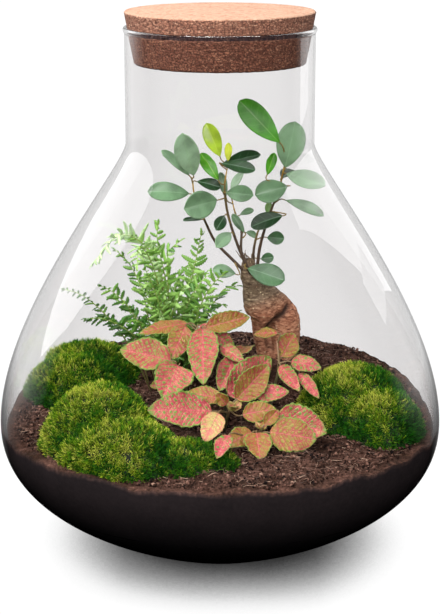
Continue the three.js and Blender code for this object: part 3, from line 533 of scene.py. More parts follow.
def thin_leaf(add, colour, glow, roughness, through, normal=None, coat=0.0, gloss=0.5):
    """A leaf's shader: a waxy skin, with some of the light from behind coming through."""
    inputs = {
        "Base Color": colour, "Roughness": roughness, "Specular IOR Level": gloss, "Coat Weight": coat,
        "Coat Roughness": 0.2,
    }
    if normal:
        inputs["Normal"] = normal
    return add("MixShader", through, add("BsdfPrincipled", inputs), add("BsdfTranslucent", glow))


def graded(name, attribute, roughness, ramp):
    """A plain skin whose colour goes by one value of the mesh's points."""
    material, add = blank_material(name)
    colour = add("ValToRGB", add("Attribute", attribute_name=attribute).outputs["Fac"], ramp=ramp)
    add("OutputMaterial", add("BsdfPrincipled", {"Base Color": colour, "Roughness": roughness}))
    return material


def moss_shoots():
    """Living moss: fine pointed leaves, yellow-green at their tips and dark green where painted shade falls,
    and painted near black at their bases as the shade among the shoots.
    """
    material, add = blank_material("living_cushion_moss")
    tip, shade = (add("Attribute", attribute_name=name).outputs["Fac"] for name in ("tip", "shade"))
    fresh = add("ValToRGB", shade, ramp=[
        (0.0, "#175a02"), (0.3, "#327a06"), (0.6, "#6c9a10"), (0.85, "#a8bb22"), (1.0, "#d6dc58"),
    ])
    # painted shade: the lower part of each leaf is painted near black; the tips keep the leaves' own colour
    painted_shade_base = add("ValToRGB", shade, ramp=[(0.0, "#030a00"), (1.0, "#152203")])
    colour = add("MixRGB", tip, painted_shade_base, fresh)
    add("OutputMaterial", thin_leaf(add, colour, colour, 0.7, 0.25, gloss=0.15))
    return material


def moss_bed():
    """The mat of stems under the shoots, painted near black as the shade beneath them."""
    material, add = blank_material("matted_moss_stems")
    place = add("TexCoord").outputs["Object"]
    mat = add("TexNoise", place, {"Scale": 500.0, "Detail": 4.0})
    colour = add("ValToRGB", mat, ramp=[(0.3, "#040701"), (0.55, "#0b1302"), (0.75, "#1a130a")])
    skin = add("BsdfPrincipled", {"Base Color": colour, "Roughness": 0.95})
    add("OutputMaterial", skin)
    return material


def ficus_bark():
    """The thin skin of a swollen fig root: grey-brown with fine cross wrinkles, redder lower down."""
    material, add = blank_material("wrinkled_fig_bark")
    place = add("TexCoord").outputs["Object"]
    squeezed = add("Mapping", place, {"Scale": (1.0, 1.0, 2.6)})
    wrinkle = add("TexNoise", squeezed, {"Scale": 330.0, "Detail": 6.0, "Roughness": 0.65})
    patch = add("TexNoise", place, {"Scale": 70.0, "Detail": 3.0})
    upper = add("ValToRGB", wrinkle, ramp=[
        (0.32, "#2c2015"), (0.45, "#554736"), (0.58, "#726350"), (0.68, "#9b8d73"),
    ])
    lower = add("ValToRGB", wrinkle, ramp=[
        (0.32, "#452115"), (0.45, "#87533c"), (0.6, "#b07c5f"), (0.72, "#d3a888"),
    ])
    # the redder lower part reaches higher on the right
    part = add("SeparateXYZ", place)
    tilted = add("Math", part.outputs["X"], -0.3, part.outputs["Z"], operation="MULTIPLY_ADD")
    mask = add("MapRange", tilted, 0.126, 0.138)
    blur = add("MixRGB", 0.15, mask, patch)
    colour = add("MixRGB", blur, lower, upper)
    # pale corky pores of under a millimetre, and painted shade where the skin is folded in
    pore = add("TexVoronoi", place, {"Scale": 330.0})
    spot = add("MapRange", pore.outputs["Distance"], 0.1, 0.22, 0.75, 0.0)
    rare = add("ValToRGB", pore.outputs["Color"], ramp=[(0.55, 0.0), (0.62, 1.0)])
    dots = add("Math", spot, rare, operation="MULTIPLY")
    flecked = add("MixRGB", dots, colour, "#cdbb97")
    fold = add("Attribute", attribute_name="fold").outputs["Fac"]
    folded = add("MixRGB", fold, flecked, "#1c0d08")
    bump = add("Bump", {"Strength": 0.9, "Distance": 0.0006, "Height": wrinkle})
    skin = add("BsdfPrincipled", {
        "Base Color": folded, "Roughness": 0.75, "Specular IOR Level": 0.3, "Normal": bump,
    })
    add("OutputMaterial", skin)
    return material


def young_wood():
    """Ficus twigs: brown bark with green showing through, and yellow sheaths at the tips."""
    return graded("young_fig_wood", "place", 0.5, [
        (0.0, "#3a271c"), (0.5, "#45331f"), (0.78, "#6a5a28"), (0.88, "#a88434"), (1.0, "#c9a440"),
    ])


def ficus_leaf():
    """A waxy fig leaf: blue-green with a paler middle vein, faint side veins and a soft sheen."""
    material, add = blank_material("waxy_fig_leaf")
    spot = add("Attribute", attribute_name="spot").outputs["Vector"]
    part = add("SeparateXYZ", spot)
    tone, back = (add("Attribute", attribute_name=name).outputs["Fac"] for name in ("tone", "back"))
    base = add("ValToRGB", tone, ramp=[
        (0.0, "#153518"), (0.05, "#4a6f4a"), (0.12, "#6f906c"), (0.2, "#98b795"), (0.3, "#86a566"),
        (0.5, "#43901f"), (0.75, "#4f9a1a"), (0.9, "#84c426"), (1.0, "#d6e048"),
    ])
    pale = add("ValToRGB", tone, ramp=[(0.0, "#8aa88c"), (0.5, "#8fc06c"), (1.0, "#d3e168")])
    cloud = add("TexNoise", spot, {"Scale": 0.1, "Detail": 4.0})
    depth = add("ValToRGB", cloud, ramp=[(0.36, 0.6), (0.5, 0.85), (0.64, 1.0)])
    mottled = add("MixRGB", 1.0, base, depth, blend_type="MULTIPLY")
    sided = add("MixRGB", back, mottled, pale)
    off = add("Math", part.outputs["X"], operation="ABSOLUTE")
    rib = add("MapRange", off, 0.1, 0.4, 0.4, 0.0)
    slant = add("Math", off, -0.75, part.outputs["Y"], operation="MULTIPLY_ADD")
    comb = add("Math", slant, 2.6, operation="PINGPONG")
    side = add("MapRange", comb, 0.0, 0.35, 0.16, 0.0)
    veins = add("Math", rib, side, operation="MAXIMUM")
    colour = add("MixRGB", veins, sided, pale)
    bump = add("Bump", {"Strength": 0.35, "Distance": 0.0003, "Height": veins}, invert=True)
    glow = add("MixRGB", 0.6, colour, "#9cc83a")
    add("OutputMaterial", thin_leaf(add, colour, glow, 0.32, 0.12, bump, coat=0.4))
    return material


def fern_leaf():
    """A soft fern blade: thin enough to glow, from dark to pale green."""
    material, add = blank_material("soft_fern_blade")
    tone, rib = (add("Attribute", attribute_name=name).outputs["Fac"] for name in ("tone", "rib"))
    base = add("ValToRGB", tone, ramp=[
        (0.0, "#22521a"), (0.25, "#447a26"), (0.5, "#6fa03c"), (0.75, "#91b95c"), (1.0, "#c2dca4"),
    ])
    line = add("MapRange", rib, 0.7, 1.0, 0.0, 0.45)
    colour = add("MixRGB", line, base, "#b9d48c")
    glow = add("MixRGB", 0.5, colour, "#a5d64a")
    add("OutputMaterial", thin_leaf(add, colour, glow, 0.45, 0.3, gloss=0.4))
    return material


def fern_stalk():
    """The wiry stalk of a frond: green-brown and smooth."""
    ramp = [(0.0, "#4b3f22"), (0.4, "#6c7434"), (1.0, "#8fae4c")]
    return graded("wiry_fern_stalk", "place", 0.45, ramp)


def fittonia_leaf():
    """A nerve-plant leaf: coral pink spread out from a net of veins, green left in the meshes and
    along the edge. Older tone values leave more olive and thinner veins."""
    material, add = blank_material("net_veined_fittonia_leaf")
    spot = add("Attribute", attribute_name="spot").outputs["Vector"]
    part = add("SeparateXYZ", spot)
    share = add("SeparateXYZ", add("Attribute", attribute_name="share").outputs["Vector"])
    tone, back = (add("Attribute", attribute_name=name).outputs["Fac"] for name in ("tone", "back"))
    off = add("Math", part.outputs["X"], operation="ABSOLUTE")
    # side veins leave the middle one every 3.4 mm and lean forward
    slant = add("Math", off, -0.8, part.outputs["Y"], operation="MULTIPLY_ADD")
    comb = add("Math", slant, 1.7, operation="PINGPONG")
    nets = add("TexVoronoi", spot, {"Scale": 0.4, "Randomness": 0.9}, feature="DISTANCE_TO_EDGE")
    mesh = add("Math", nets.outputs["Distance"], 4.5, operation="MULTIPLY")
    near = add("Math", comb, mesh, operation="MINIMUM")
    room = add("Math", near, off, operation="MINIMUM")
    start = add("MapRange", tone, 0.0, 1.0, 0.5, 0.0)
    # in some places the pink has spread further than in others
    spread = add("TexNoise", spot, {"Scale": 0.22, "Detail": 2.0})
    start = add("Math", spread, 1.6, start, operation="MULTIPLY_ADD")
    start = add("Math", start, 0.8, operation="SUBTRACT")
    stop = add("Math", start, 0.4, operation="ADD")
    island = add("MapRange", room, start, stop)
    edge = add("MapRange", share.outputs["X"], 0.89, 0.98)
    green = add("Math", island, edge, operation="MAXIMUM")
    blush = add("TexNoise", spot, {"Scale": 0.25, "Detail": 3.0})
    pinks = add("ValToRGB", blush, ramp=[(0.3, "#8e343c"), (0.48, "#ac5150"), (0.68, "#b97d64")])
    tans = add("ValToRGB", blush, ramp=[(0.3, "#5c4010"), (0.7, "#8a6c2a")])
    skins = add("MixRGB", tone, pinks, tans)
    line = add("MapRange", near, 0.12, 0.42, 0.85, 0.0)
    veins = add("MixRGB", line, skins, "#8a1f30")
    meshes = add("ValToRGB", tone, ramp=[
        (0.0, "#51762a"), (0.3, "#6f7c34"), (0.6, "#7a6d2a"), (1.0, "#7a601d"),
    ])
    colour = add("MixRGB", green, veins, meshes)
    rimmed = add("MixRGB", edge, colour, "#5d7d2c")
    youth = add("MapRange", tone, 1.2, 2.0)
    cream = add("MixRGB", island, "#b2685a", "#a3955a")
    aged = add("MixRGB", youth, rimmed, cream)
    middle = add("MapRange", off, 0.15, 0.45, 0.6, 0.0)
    ribbed = add("MixRGB", middle, aged, "#b04c58")
    under = add("MixRGB", tone, "#a87f6a", "#8f8048")
    sided = add("MixRGB", back, ribbed, under)
    bump = add("Bump", {"Strength": 0.7, "Distance": 0.0004, "Height": near})
    glow = add("MixRGB", 0.5, sided, "#c8803a")
    add("OutputMaterial", thin_leaf(add, sided, glow, 0.5, 0.12, bump, gloss=0.35))
    return material


def fittonia_stem():
    """Fleshy, hairy, pale green stems with a blush."""
    ramp = [(0.0, "#261c12"), (0.6, "#45401f"), (0.85, "#6b5436"), (1.0, "#8a6650")]
    return graded("fleshy_fittonia_stem", "place", 0.6, ramp)


# ---------------------------------------------------------------- vessel and stopper


def bezier(curve, count):
    p = np.asarray(curve, float)
    t = np.linspace(0, 1, count)[:, None]
    return (1 - t) ** 3 * p[0] + 3 * (1 - t) ** 2 * t * p[1] + 3 * (1 - t) * t**2 * p[2] + t**3 * p[3]


def outer_profile():
    return np.vstack([bezier(LOWER_CURVE, 40), bezier(UPPER_CURVE, 60)[1:]])


def wall_at(height):
    """The glass thins from the foot to the belly and on to the neck."""
    foot = np.interp(height, [0, THICK_BELOW], [BASE_WALL, BELLY_WALL])
    neck = np.interp(height, [BELLY_HEIGHT, NECK_HEIGHT], [BELLY_WALL, NECK_WALL])
    return np.where(height < BELLY_HEIGHT, foot, neck)


def inner_profile(clearance):
    profile = outer_profile()
    run = unit(np.gradient(profile, axis=0))
    depth = wall_at(profile[:, 1]) + clearance
    return profile + np.stack([-run[:, 1], run[:, 0]], -1) * depth[:, None]


def glass_wall():
    """The blown vessel: its foot, its outside, the bead of its rim and its inside."""
    floor = BASE_WALL + PUSH_UP
    inside = inner_profile(0)
    inside = inside[inside[:, 1] > floor + 0.6]
    turn = np.linspace(0, math.pi, 15)
    half = (RIM_BULGE + NECK_WALL) / 2
    crown = 0.4 * RIM_TALL
    outer = NECK_RADIUS + RIM_BULGE
    swell = bezier([
        (NECK_RADIUS, RIM_HEIGHT - RIM_TALL), (NECK_RADIUS, RIM_HEIGHT - 0.75 * RIM_TALL),
        (outer, RIM_HEIGHT - 0.75 * RIM_TALL), (outer, RIM_HEIGHT - crown - 0.2),
    ], 10)
    over = np.stack([outer - half + half * np.cos(turn), RIM_HEIGHT - crown + crown * np.sin(turn)], -1)
    rim = np.vstack([swell, over])
    foot = [(0, PUSH_UP), (FOOT_RADIUS - FOOT_RING - PUSH_UP_SLOPE, PUSH_UP), (FOOT_RADIUS - FOOT_RING, 0)]
    profile = np.vstack([foot, outer_profile(), rim, inside[::-1], [(FLOOR_RADIUS, floor), (0, floor)]])
    wall = Pile().add(*lathe(profile, 192))
    wall = wall.build("glass_wall", blown_glass(), "clear_glass", ["glass_vessel"], lit=False)
    wall.visible_diffuse = False
    GLASS.objects.link(wall)


def cork():
    """The stopper, with small pits where granules have come out."""
    rim_radius = NECK_RADIUS - NECK_WALL - GAP
    top = rim_radius + (CORK_TOP_HEIGHT - RIM_HEIGHT) * CORK_TAPER
    bottom = top - CORK_TALL * CORK_TAPER
    low = CORK_TOP_HEIGHT - CORK_TALL
    side = np.linspace([bottom, low + CORK_CHAMFER], [top, CORK_TOP_HEIGHT - CORK_CHAMFER], 56)
    under = np.linspace([0, low], [bottom - CORK_CHAMFER, low], 40)
    over = np.linspace([top - CORK_CHAMFER, CORK_TOP_HEIGHT], [0, CORK_TOP_HEIGHT], 70)
    points, faces = lathe(np.vstack([under, side, over]), 420)
    radius = np.maximum(np.linalg.norm(points[:, :2], axis=1), 1e-6)
    pits = np.minimum(lumps(points, 0.9), 0.1) * 0.35 + np.minimum(lumps(points, 2.1, 7), 0.2) * 0.25
    share = np.clip((CORK_TOP_HEIGHT - 0.3 - points[:, 2]) / 0.5, 0, 1) * 0.8 + 0.2
    push = np.minimum(pits - 0.06, 0) * share
    flat = (points[:, 2] > CORK_TOP_HEIGHT - 0.01) | (points[:, 2] < low + 0.01)
    points[:, 2] += np.where(flat, push * np.sign(points[:, 2] - low - 5), 0)
    points[:, :2] *= (1 + np.where(flat, 0, push) / radius)[:, None]
    Pile().add(points, faces).build("cork", pressed_cork(), "pressed_cork", ["cork_stopper"])


# ---------------------------------------------------------------- soil


WETTING = 0.05  # how far the side of the soil goes into the glass


def soil_height(x, y):
    """The soil rises towards the back, in low waves and with a heap round the ficus."""
    back = np.clip((y + 10) / 110, 0, 1)
    back = back * back * (3 - 2 * back)
    waves = 1.1 * np.sin(x / 13 + 1) * np.sin(y / 11) + 0.8 * np.sin(x / 6 + y / 9 + 2)
    away = np.hypot(x - SOIL_HEAP["x"], y - SOIL_HEAP["y"]) / SOIL_HEAP["spread"]
    return SOIL_LEVEL + SOIL_BACK_RISE * back + waves + SOIL_HEAP["rise"] * np.exp(-away * away / 2)


def soil_wall(height):
    """Damp soil wets the glass. No film of air is left, so the glass doesn't mirror there."""
    profile = inner_profile(-WETTING)
    rising = profile[profile[:, 1] > BASE_WALL + PUSH_UP + GAP + 0.5]
    return np.interp(height, rising[:, 1], rising[:, 0])


def disc_grid(count):
    """Points of the unit disc as a square grid, evenly spread (rows, columns, 2)."""
    a, b = np.meshgrid(np.linspace(-1, 1, count), np.linspace(-1, 1, count), indexing="ij")
    wide = np.abs(a) > np.abs(b)
    with np.errstate(divide="ignore", invalid="ignore"):
        radius = np.where(wide, a, b)
        angle = np.where(wide, math.pi / 4 * b / a, math.pi / 2 - math.pi / 4 * a / b)
    angle = np.nan_to_num(angle)
    return np.stack([radius * np.cos(angle), radius * np.sin(angle)], -1)


def soil_bed(material):
    """The soil in one closed skin: a crumbly top, the side against the glass and the floor."""
    count = 241
    disc = disc_grid(count)
    share = np.linalg.norm(disc, axis=-1)
    angle = np.arctan2(disc[..., 1], disc[..., 0])
    rim_height = soil_height(BELLY_RADIUS * np.cos(angle), BELLY_RADIUS * np.sin(angle))
    flat = polar(soil_wall(rim_height) * share, angle, 0)
    height = np.where(share > 0.999, rim_height, soil_height(flat[..., 0], flat[..., 1]))
    flat = flat.reshape(-1, 3)
    crumbs = 1.5 * lumps(flat, 9) + 1.1 * np.abs(lumps(flat, 3.4, 3)) + 0.7 * lumps(flat, 1.7, 9)
    height = height + crumbs.reshape(count, count)
    top = polar(np.where(share > 0.999, soil_wall(height), soil_wall(rim_height) * share), angle, height)
    index = np.arange(count * count).reshape(count, count)
    edge = np.concatenate([index[:-1, 0], index[-1, :-1], index[:0:-1, -1], index[0, :0:-1]])
    rim = top.reshape(-1, 3)[edge]
    around = np.arctan2(rim[:, 1], rim[:, 0])
    bottom = BASE_WALL + PUSH_UP + GAP
    rows = 27
    levels = [rim[:, 2] + (bottom + 0.8 - rim[:, 2]) * k / rows for k in range(1, rows)]
    rings = [polar(soil_wall(z), around, z) for z in levels] + [polar(FLOOR_RADIUS - 1, around, bottom)]
    points = np.concatenate([top.reshape(-1, 3), *rings, [[0, 0, bottom]]])
    n, m = count * count, len(edge)
    i = np.arange(m)
    j = (i + 1) % m
    first = np.stack([edge[i], n + i, n + j, edge[j]], -1)
    sides = grid_faces(rows, m, closed=True)[:, ::-1] + n
    floor = fan(len(points) - 1, n + (rows - 1) * m, m, flip=True)
    loose = np.concatenate([np.ones(n), np.zeros(len(points) - n)])
    loose[edge] = 0.5
    faces = [grid_faces(count, count)[:, ::-1], first, sides, floor]
    Pile().add(points, faces, loose=loose).build("soil_bed", material, "potting_soil", ["potting_soil"])


CRUMBS = 9900  # in each of two pieces
FIBRES = 2200
LOOSE_REACH = 132  # how far from the middle they lie
ICOSAHEDRON = np.array([
    [0, 1, 1.618], [0, -1, 1.618], [0, 1, -1.618], [0, -1, -1.618], [1, 1.618, 0], [-1, 1.618, 0],
    [1, -1.618, 0], [-1, -1.618, 0], [1.618, 0, 1], [-1.618, 0, 1], [1.618, 0, -1], [-1.618, 0, -1],
]) / 1.902
ICO_FACES = np.array([
    [0, 1, 8], [0, 8, 4], [0, 4, 5], [0, 5, 9], [0, 9, 1], [1, 6, 8], [8, 6, 10], [8, 10, 4], [4, 10, 2],
    [4, 2, 5], [5, 2, 11], [5, 11, 9], [9, 11, 7], [9, 7, 1], [1, 7, 6], [3, 6, 7], [3, 10, 6],
    [3, 2, 10], [3, 11, 2], [3, 7, 11],
])


def soil_points(count, reach):
    """Random places on the soil's surface."""
    angle = rng.uniform(0, 2 * math.pi, count)
    radius = reach * np.sqrt(rng.uniform(0, 1, count))
    points = polar(radius, angle, 0)
    points[:, 2] = soil_height(points[:, 0], points[:, 1])
    return points


def soil_crumbs(name, material):
    """Small lumps that lie on the soil, most of them under a millimetre across."""
    places = soil_points(CRUMBS, LOOSE_REACH)
    size = 0.3 + 0.95 * rng.uniform(0, 1, CRUMBS) ** 4
    places[:, 2] += 0.8 + 0.5 * size
    corners = len(ICOSAHEDRON)
    jitter = 1 + rng.uniform(-0.35, 0.35, (CRUMBS, corners, 1))
    squash = rng.uniform(0.6, 1.2, (CRUMBS, 1, 3))
    points = places[:, None] + ICOSAHEDRON[None] * jitter * squash * size[:, None, None]
    faces = ICO_FACES[None] + (np.arange(CRUMBS) * corners)[:, None, None]
    tint = np.repeat(rng.normal(0, 0.12, CRUMBS), corners)
    Pile().add(points, faces, loose=1.0, tint=tint).build(name, material, "potting_soil")


def coir_fibres():
    """Thin curled fibres that lie on the soil."""
    ramp = [(0.0, "#2c1c16"), (0.6, "#62473a"), (0.9, "#8a6e5c"), (1.0, "#b59c86")]
    material = graded("coir_fibre", "tone", 0.8, ramp)
    pile = Pile()
    for place in soil_points(FIBRES, LOOSE_REACH - 1):
        heading, bend = rng.uniform(0, 2 * math.pi), rng.uniform(-1.2, 1.2)
        length = rng.uniform(2, 8)
        turn = heading + bend * np.array([-0.5, 0, 0.5])
        step = np.stack([np.cos(turn), np.sin(turn), rng.uniform(-0.15, 0.25, 3)], -1) * length / 3
        route = place + [0, 0, 1.7] + np.vstack([[0, 0, 0], np.cumsum(step, axis=0)])
        route[:, 2] = np.maximum(route[:, 2], soil_height(route[:, 0], route[:, 1]) + 1.0)
        if np.linalg.norm(route[:, :2], axis=1).max() > LOOSE_REACH:
            continue
        points, faces, _ = tube(Path(route, 6), [0.12, 0.15, 0.09], sides=3, steps=5)
        pile.add(points, faces, tone=rng.uniform(0, 1))
    pile.build("coir_fibres", material, "potting_soil")


# ---------------------------------------------------------------- moss


def lobe_height(share, top):
    """The height of a lobe at a share of its way out from the middle."""
    return MOSS_FOOT + (top - MOSS_FOOT) * np.maximum(1 - share**2.5, 0) ** (1 / 1.6)


def lobe_surface(lobe, rows=26, sides=72):
    """A grid of points over a lobe (rows, sides, 3), from its edge to its crown."""
    x, y, half_length, half_depth, top = lobe
    share = np.concatenate([np.linspace(1, 0.9, 6), np.linspace(0.87, 0.02, rows - 6)])[:, None]
    angle = (np.arange(sides) * 2 * math.pi / sides)[None]
    swell = share * (1 + 0.035 * np.sin(3 * angle + x) + 0.025 * np.sin(5 * angle + y))
    px = x + (half_length - MOSS_INSET) * swell * np.cos(angle)
    py = y + (half_depth - MOSS_INSET) * swell * np.sin(angle)
    reach = np.hypot(px, py)
    scale = np.minimum(1, (MOSS_REACH - MOSS_INSET) / reach)
    return np.stack(np.broadcast_arrays(px * scale, py * scale, lobe_height(share, top - MOSS_INSET)), -1)


def inside_lobe(points, lobe):
    x, y, half_length, half_depth, top = lobe
    far_x = (points[:, 0] - x) / (half_length - MOSS_INSET)
    far_y = (points[:, 1] - y) / (half_depth - MOSS_INSET)
    share = np.hypot(far_x, far_y)
    return (share < 1) & (points[:, 2] < lobe_height(share, top - MOSS_INSET) - 0.6)


def scatter(grid, per_area):
    """Random points on a closed band of quads, with their normals."""
    rows, sides = grid.shape[:2]
    flat = grid.reshape(-1, 3)
    quads = grid_faces(rows, sides, closed=True)
    tris = np.concatenate([quads[:, [0, 1, 2]], quads[:, [0, 2, 3]]])
    a, b, c = (flat[tris[:, k]] for k in range(3))
    normal = np.cross(b - a, c - a)
    area = np.linalg.norm(normal, axis=1) / 2
    pick = rng.choice(len(tris), int(area.sum() * per_area), p=area / area.sum())
    u, v = rng.uniform(0, 1, (2, len(pick), 1))
    over = u + v > 1
    u, v = np.where(over, 1 - u, u), np.where(over, 1 - v, v)
    return a[pick] + u * (b - a)[pick] + v * (c - a)[pick], unit(normal[pick])


SHOOTS_PER_AREA = 0.46  # moss shoots on a square millimetre
# how much lighter each cushion's shoots are painted, as painted light
MOSS_PAINTED_LIGHT = {"moss_cushion_left": 0.34, "moss_cushion_front": 0.46, "moss_cushion_right": 0.42}

# Rings of leaves on a moss shoot: how many, height, lean in degrees, length
MOSS_RINGS = [(4, 0.2, 62, 2.8), (3, 0.9, 34, 3.3), (2, 1.3, 12, 3.8)]


def moss_template():
    """A shoot is a star of pointed leaves: points (leaves, 5, 3), faces, and how near the tip each is."""
    leaves = []
    up = np.array([0, 0, 1.0])
    for tier, (count, height, lean, length) in enumerate(MOSS_RINGS):
        for k in range(count):
            turn = 2 * math.pi * (k + 0.5 * tier) / count
            out = np.array([math.cos(turn), math.sin(turn), 0])
            side = np.array([-math.sin(turn), math.cos(turn), 0])
            a, b = math.radians(lean), math.radians(lean + 16)
            base = up * height
            middle = base + (out * math.sin(a) + up * math.cos(a)) * length * 0.5
            tip = middle + (out * math.sin(b) + up * math.cos(b)) * length * 0.5
            foot = [base - side * 0.14, base + side * 0.14]
            leaves.append([*foot, middle + side * 0.24, middle - side * 0.24, tip])
    points = np.array(leaves).reshape(-1, 3)
    step = 5 * np.arange(len(leaves))[:, None]
    tips = np.tile([0.0, 0.0, 0.32, 0.32, 1.0], len(leaves))
    return points, np.array([[0, 1, 2, 3]]) + step, np.array([[3, 2, 4]]) + step, tips


def lay_mat(bed, surface):
    """The mat under a lobe's shoots: its surface, with a skirt down into the soil and a cap."""
    rows, sides = surface.shape[:2]
    skirt = surface[:1] * [1, 1, 0] + [0, 0, SOIL_LEVEL - 6]
    body = np.concatenate([skirt, surface]).reshape(-1, 3)
    body[:, 2] += 0.5 * lumps(body, 5)
    faces = [grid_faces(rows + 1, sides, closed=True), fan(len(body), rows * sides, sides)]
    bed.add(np.concatenate([body, surface[-1:].mean(axis=1)]), faces)


def grow_shoots(shoots, surface, others, light):
    """Shoots on the part of a lobe that is above the soil and outside the other lobes."""
    roots, normals = scatter(surface, SHOOTS_PER_AREA)
    buried = roots[:, 2] < soil_height(roots[:, 0], roots[:, 1]) - 0.5
    for other in others:
        buried |= inside_lobe(roots, other)
    roots, normals = roots[~buried], normals[~buried]
    roots[:, 2] += 0.5 * lumps(roots, 5)
    count = len(roots)
    axis = unit(0.75 * normals + [0, 0, 0.45] + rng.normal(0, 0.16, (count, 3)))
    side = unit(np.cross(axis, rng.normal(0, 1, (count, 3))))
    turn = np.stack([side, np.cross(axis, side), axis], 1)
    size = rng.uniform(0.75, 1.15, count) * (1 + 0.15 * lumps(roots, 8, 5))
    template, quads, tris, tips = moss_template()
    points = roots[:, None] + np.einsum("vk,nkj->nvj", template, turn) * size[:, None, None]
    shift = (np.arange(count) * len(template))[:, None, None]
    # painted light: each cushion's painted light value, random patches of tone, and a lift for shoots that
    # face up and to the left, towards the lamps
    broad = light + 0.7 * lumps(roots, 22, 2) + 0.2 * lumps(roots, 6, 4)
    painted_light_facing = np.clip(normals[:, 2] * 0.4 - 0.2 - normals[:, 0] * 0.3, -0.4, 0.4)
    shade = np.clip(broad + painted_light_facing + rng.normal(0, 0.33, count), 0, 1)
    faces = [quads[None] + shift, tris[None] + shift]
    shoots.add(points, faces, tip=np.tile(tips, count), shade=np.repeat(shade, len(template)))


def moss_cushion(node_name, lobes, shoot_material, bed_material):
    bed, shoots = Pile(), Pile()
    for lobe in lobes:
        surface = lobe_surface(lobe)
        lay_mat(bed, surface)
        others = [other for other in lobes if other is not lobe]
        grow_shoots(shoots, surface, others, MOSS_PAINTED_LIGHT[node_name])
    shoots.build(node_name.replace("cushion", "shoots"), shoot_material, "cushion_moss", [node_name])
    bed.build(node_name.replace("cushion", "bed"), bed_material, "cushion_moss")


# ---------------------------------------------------------------- leaves


def leaf(pile, spec, outline, rows, columns, thickness, shape):
    """A leaf's blade. `shape` gives its lift at each place along and across it."""
    _, base, heading, rise, length, width, tilt, tone = spec
    out, across, up = leaf_axes(heading, rise, tilt)
    place = np.linspace(0, 1, rows)[:, None]
    side = np.linspace(-1, 1, columns)[None]
    half = np.maximum(outline(place) * width / 2, 0.25)
    lift = shape(place, side, half, length)
    along = np.asarray(base, float) + out * (length * place)[..., None]
    middle = along + across * (side * half)[..., None] + up * lift[..., None]
    place, side, tone = np.broadcast_arrays(place, side, float(tone))
    spot = np.stack([side * half, length * place, np.full(place.shape, rng.uniform(0, 900))], -1)
    share = np.stack([np.maximum(np.abs(side), place), place, side], -1)
    sheet(pile, middle, thickness, spot=spot, share=share, tone=tone)


def ficus_outline(place):
    """Widest past the middle, with a round end."""
    place = np.clip(place, 0, 1)
    return 2.5 * place**0.85 * (1 - place) ** 0.55


def ficus_shape(place, side, half, length):
    cup = 0.24 + 0.1 * math.sin(3.1 * length)
    lift = cup * half * np.abs(side) ** 1.2 - (0.13 + 0.06 * math.sin(1.9 * length)) * length * place**2
    return lift + 0.3 * np.sin(5 * place + 2 * side) + 0.22 * half * side * place * math.sin(2.3 * length)


def fittonia_outline(place):
    """Widest before the middle, with a point and a scalloped edge."""
    return np.sin(math.pi * np.clip(place, 0, 1) ** 0.84) ** 0.68 * (1 + 0.03 * np.sin(place * 52))


def fittonia_shape(place, side, half, length):
    far = np.abs(side)
    wave = 0.12 * half * far**2 * np.sin(4 * math.pi * place + np.sign(side))
    ruffle = 0.035 * half * far**3 * np.sin(2 * math.pi * (6 * place) + 2 * side)
    quilt = 0.3 * np.cos(2 * math.pi * (length * place - 0.8 * far * half) / 3.4) * far * (1.1 - far)
    cup = 0.2 + 0.16 * math.sin(3.3 * length)
    twist = 0.3 * half * side * place * math.sin(5.1 * length)
    droop = (0.2 + 0.08 * math.sin(1.7 * length)) * length * place**2
    return cup * half * far**1.3 - droop + wave + ruffle - quilt + twist


def stalk(pile, path, spec, radius):
    """The stalk from the stem to the foot of a leaf, ending under the start of its blade."""
    share, base, heading, rise, length, _, tilt, _ = spec
    out, _, up = leaf_axes(heading, rise, tilt)
    root = path.at(share)
    base = np.asarray(base, float)
    reach = np.linalg.norm(base - root)
    bend = base - out * min(0.35 * reach, 3.0)
    route = [root, bend, base + out * 0.06 * length - up * 0.3]
    points, faces, _ = tube(Path(route, 12), [radius * 1.2, radius, radius * 0.8], 6, 10)
    pile.add(points, faces, place=0.8)


def leafy_stems(plant, stems, stem_name, limb, rough, tip, stalk_radius, blade, materials):
    """A plant's stems with their leaves. `limb` and `blade` end the inputs of tube() and leaf()."""
    for i, (route, leaves) in enumerate(stems, 1):
        path = Path(route)
        wood, blades = Pile(), Pile()
        points, faces, place = tube(path, *limb)
        bark = unit(points[1:-1] - path.at(place[1:-1]))
        points[1:-1] += rough * lumps(points[1:-1], 1.5)[:, None] * bark
        wood.add(points, faces, place=place * tip)
        for spec in leaves:
            stalk(wood, path, spec, stalk_radius)
            leaf(blades, spec, *blade)
        blades.build(f"{plant}_leaves_{i}", materials[0], f"{plant}_leaf", [f"{plant}_leafy_stem_{i}"])
        wood.build(f"{plant}_{stem_name}_{i}", materials[1], f"{plant}_leaf")


def ficus_plant(leaf_material, wood_material, bark_material):
    limb = [1.15, 1.0, 0.85, 0.7, 0.35], 10, 40
    blade = ficus_outline, 25, 13, 0.45, ficus_shape
    materials = leaf_material, wood_material
    leafy_stems("ficus", FICUS_STEMS, "wood", limb, 0.12, 0.97, 0.42, blade, materials)
    root_legs(bark_material)
    stump_twigs(bark_material)


SKIN_VOXEL = 0.8


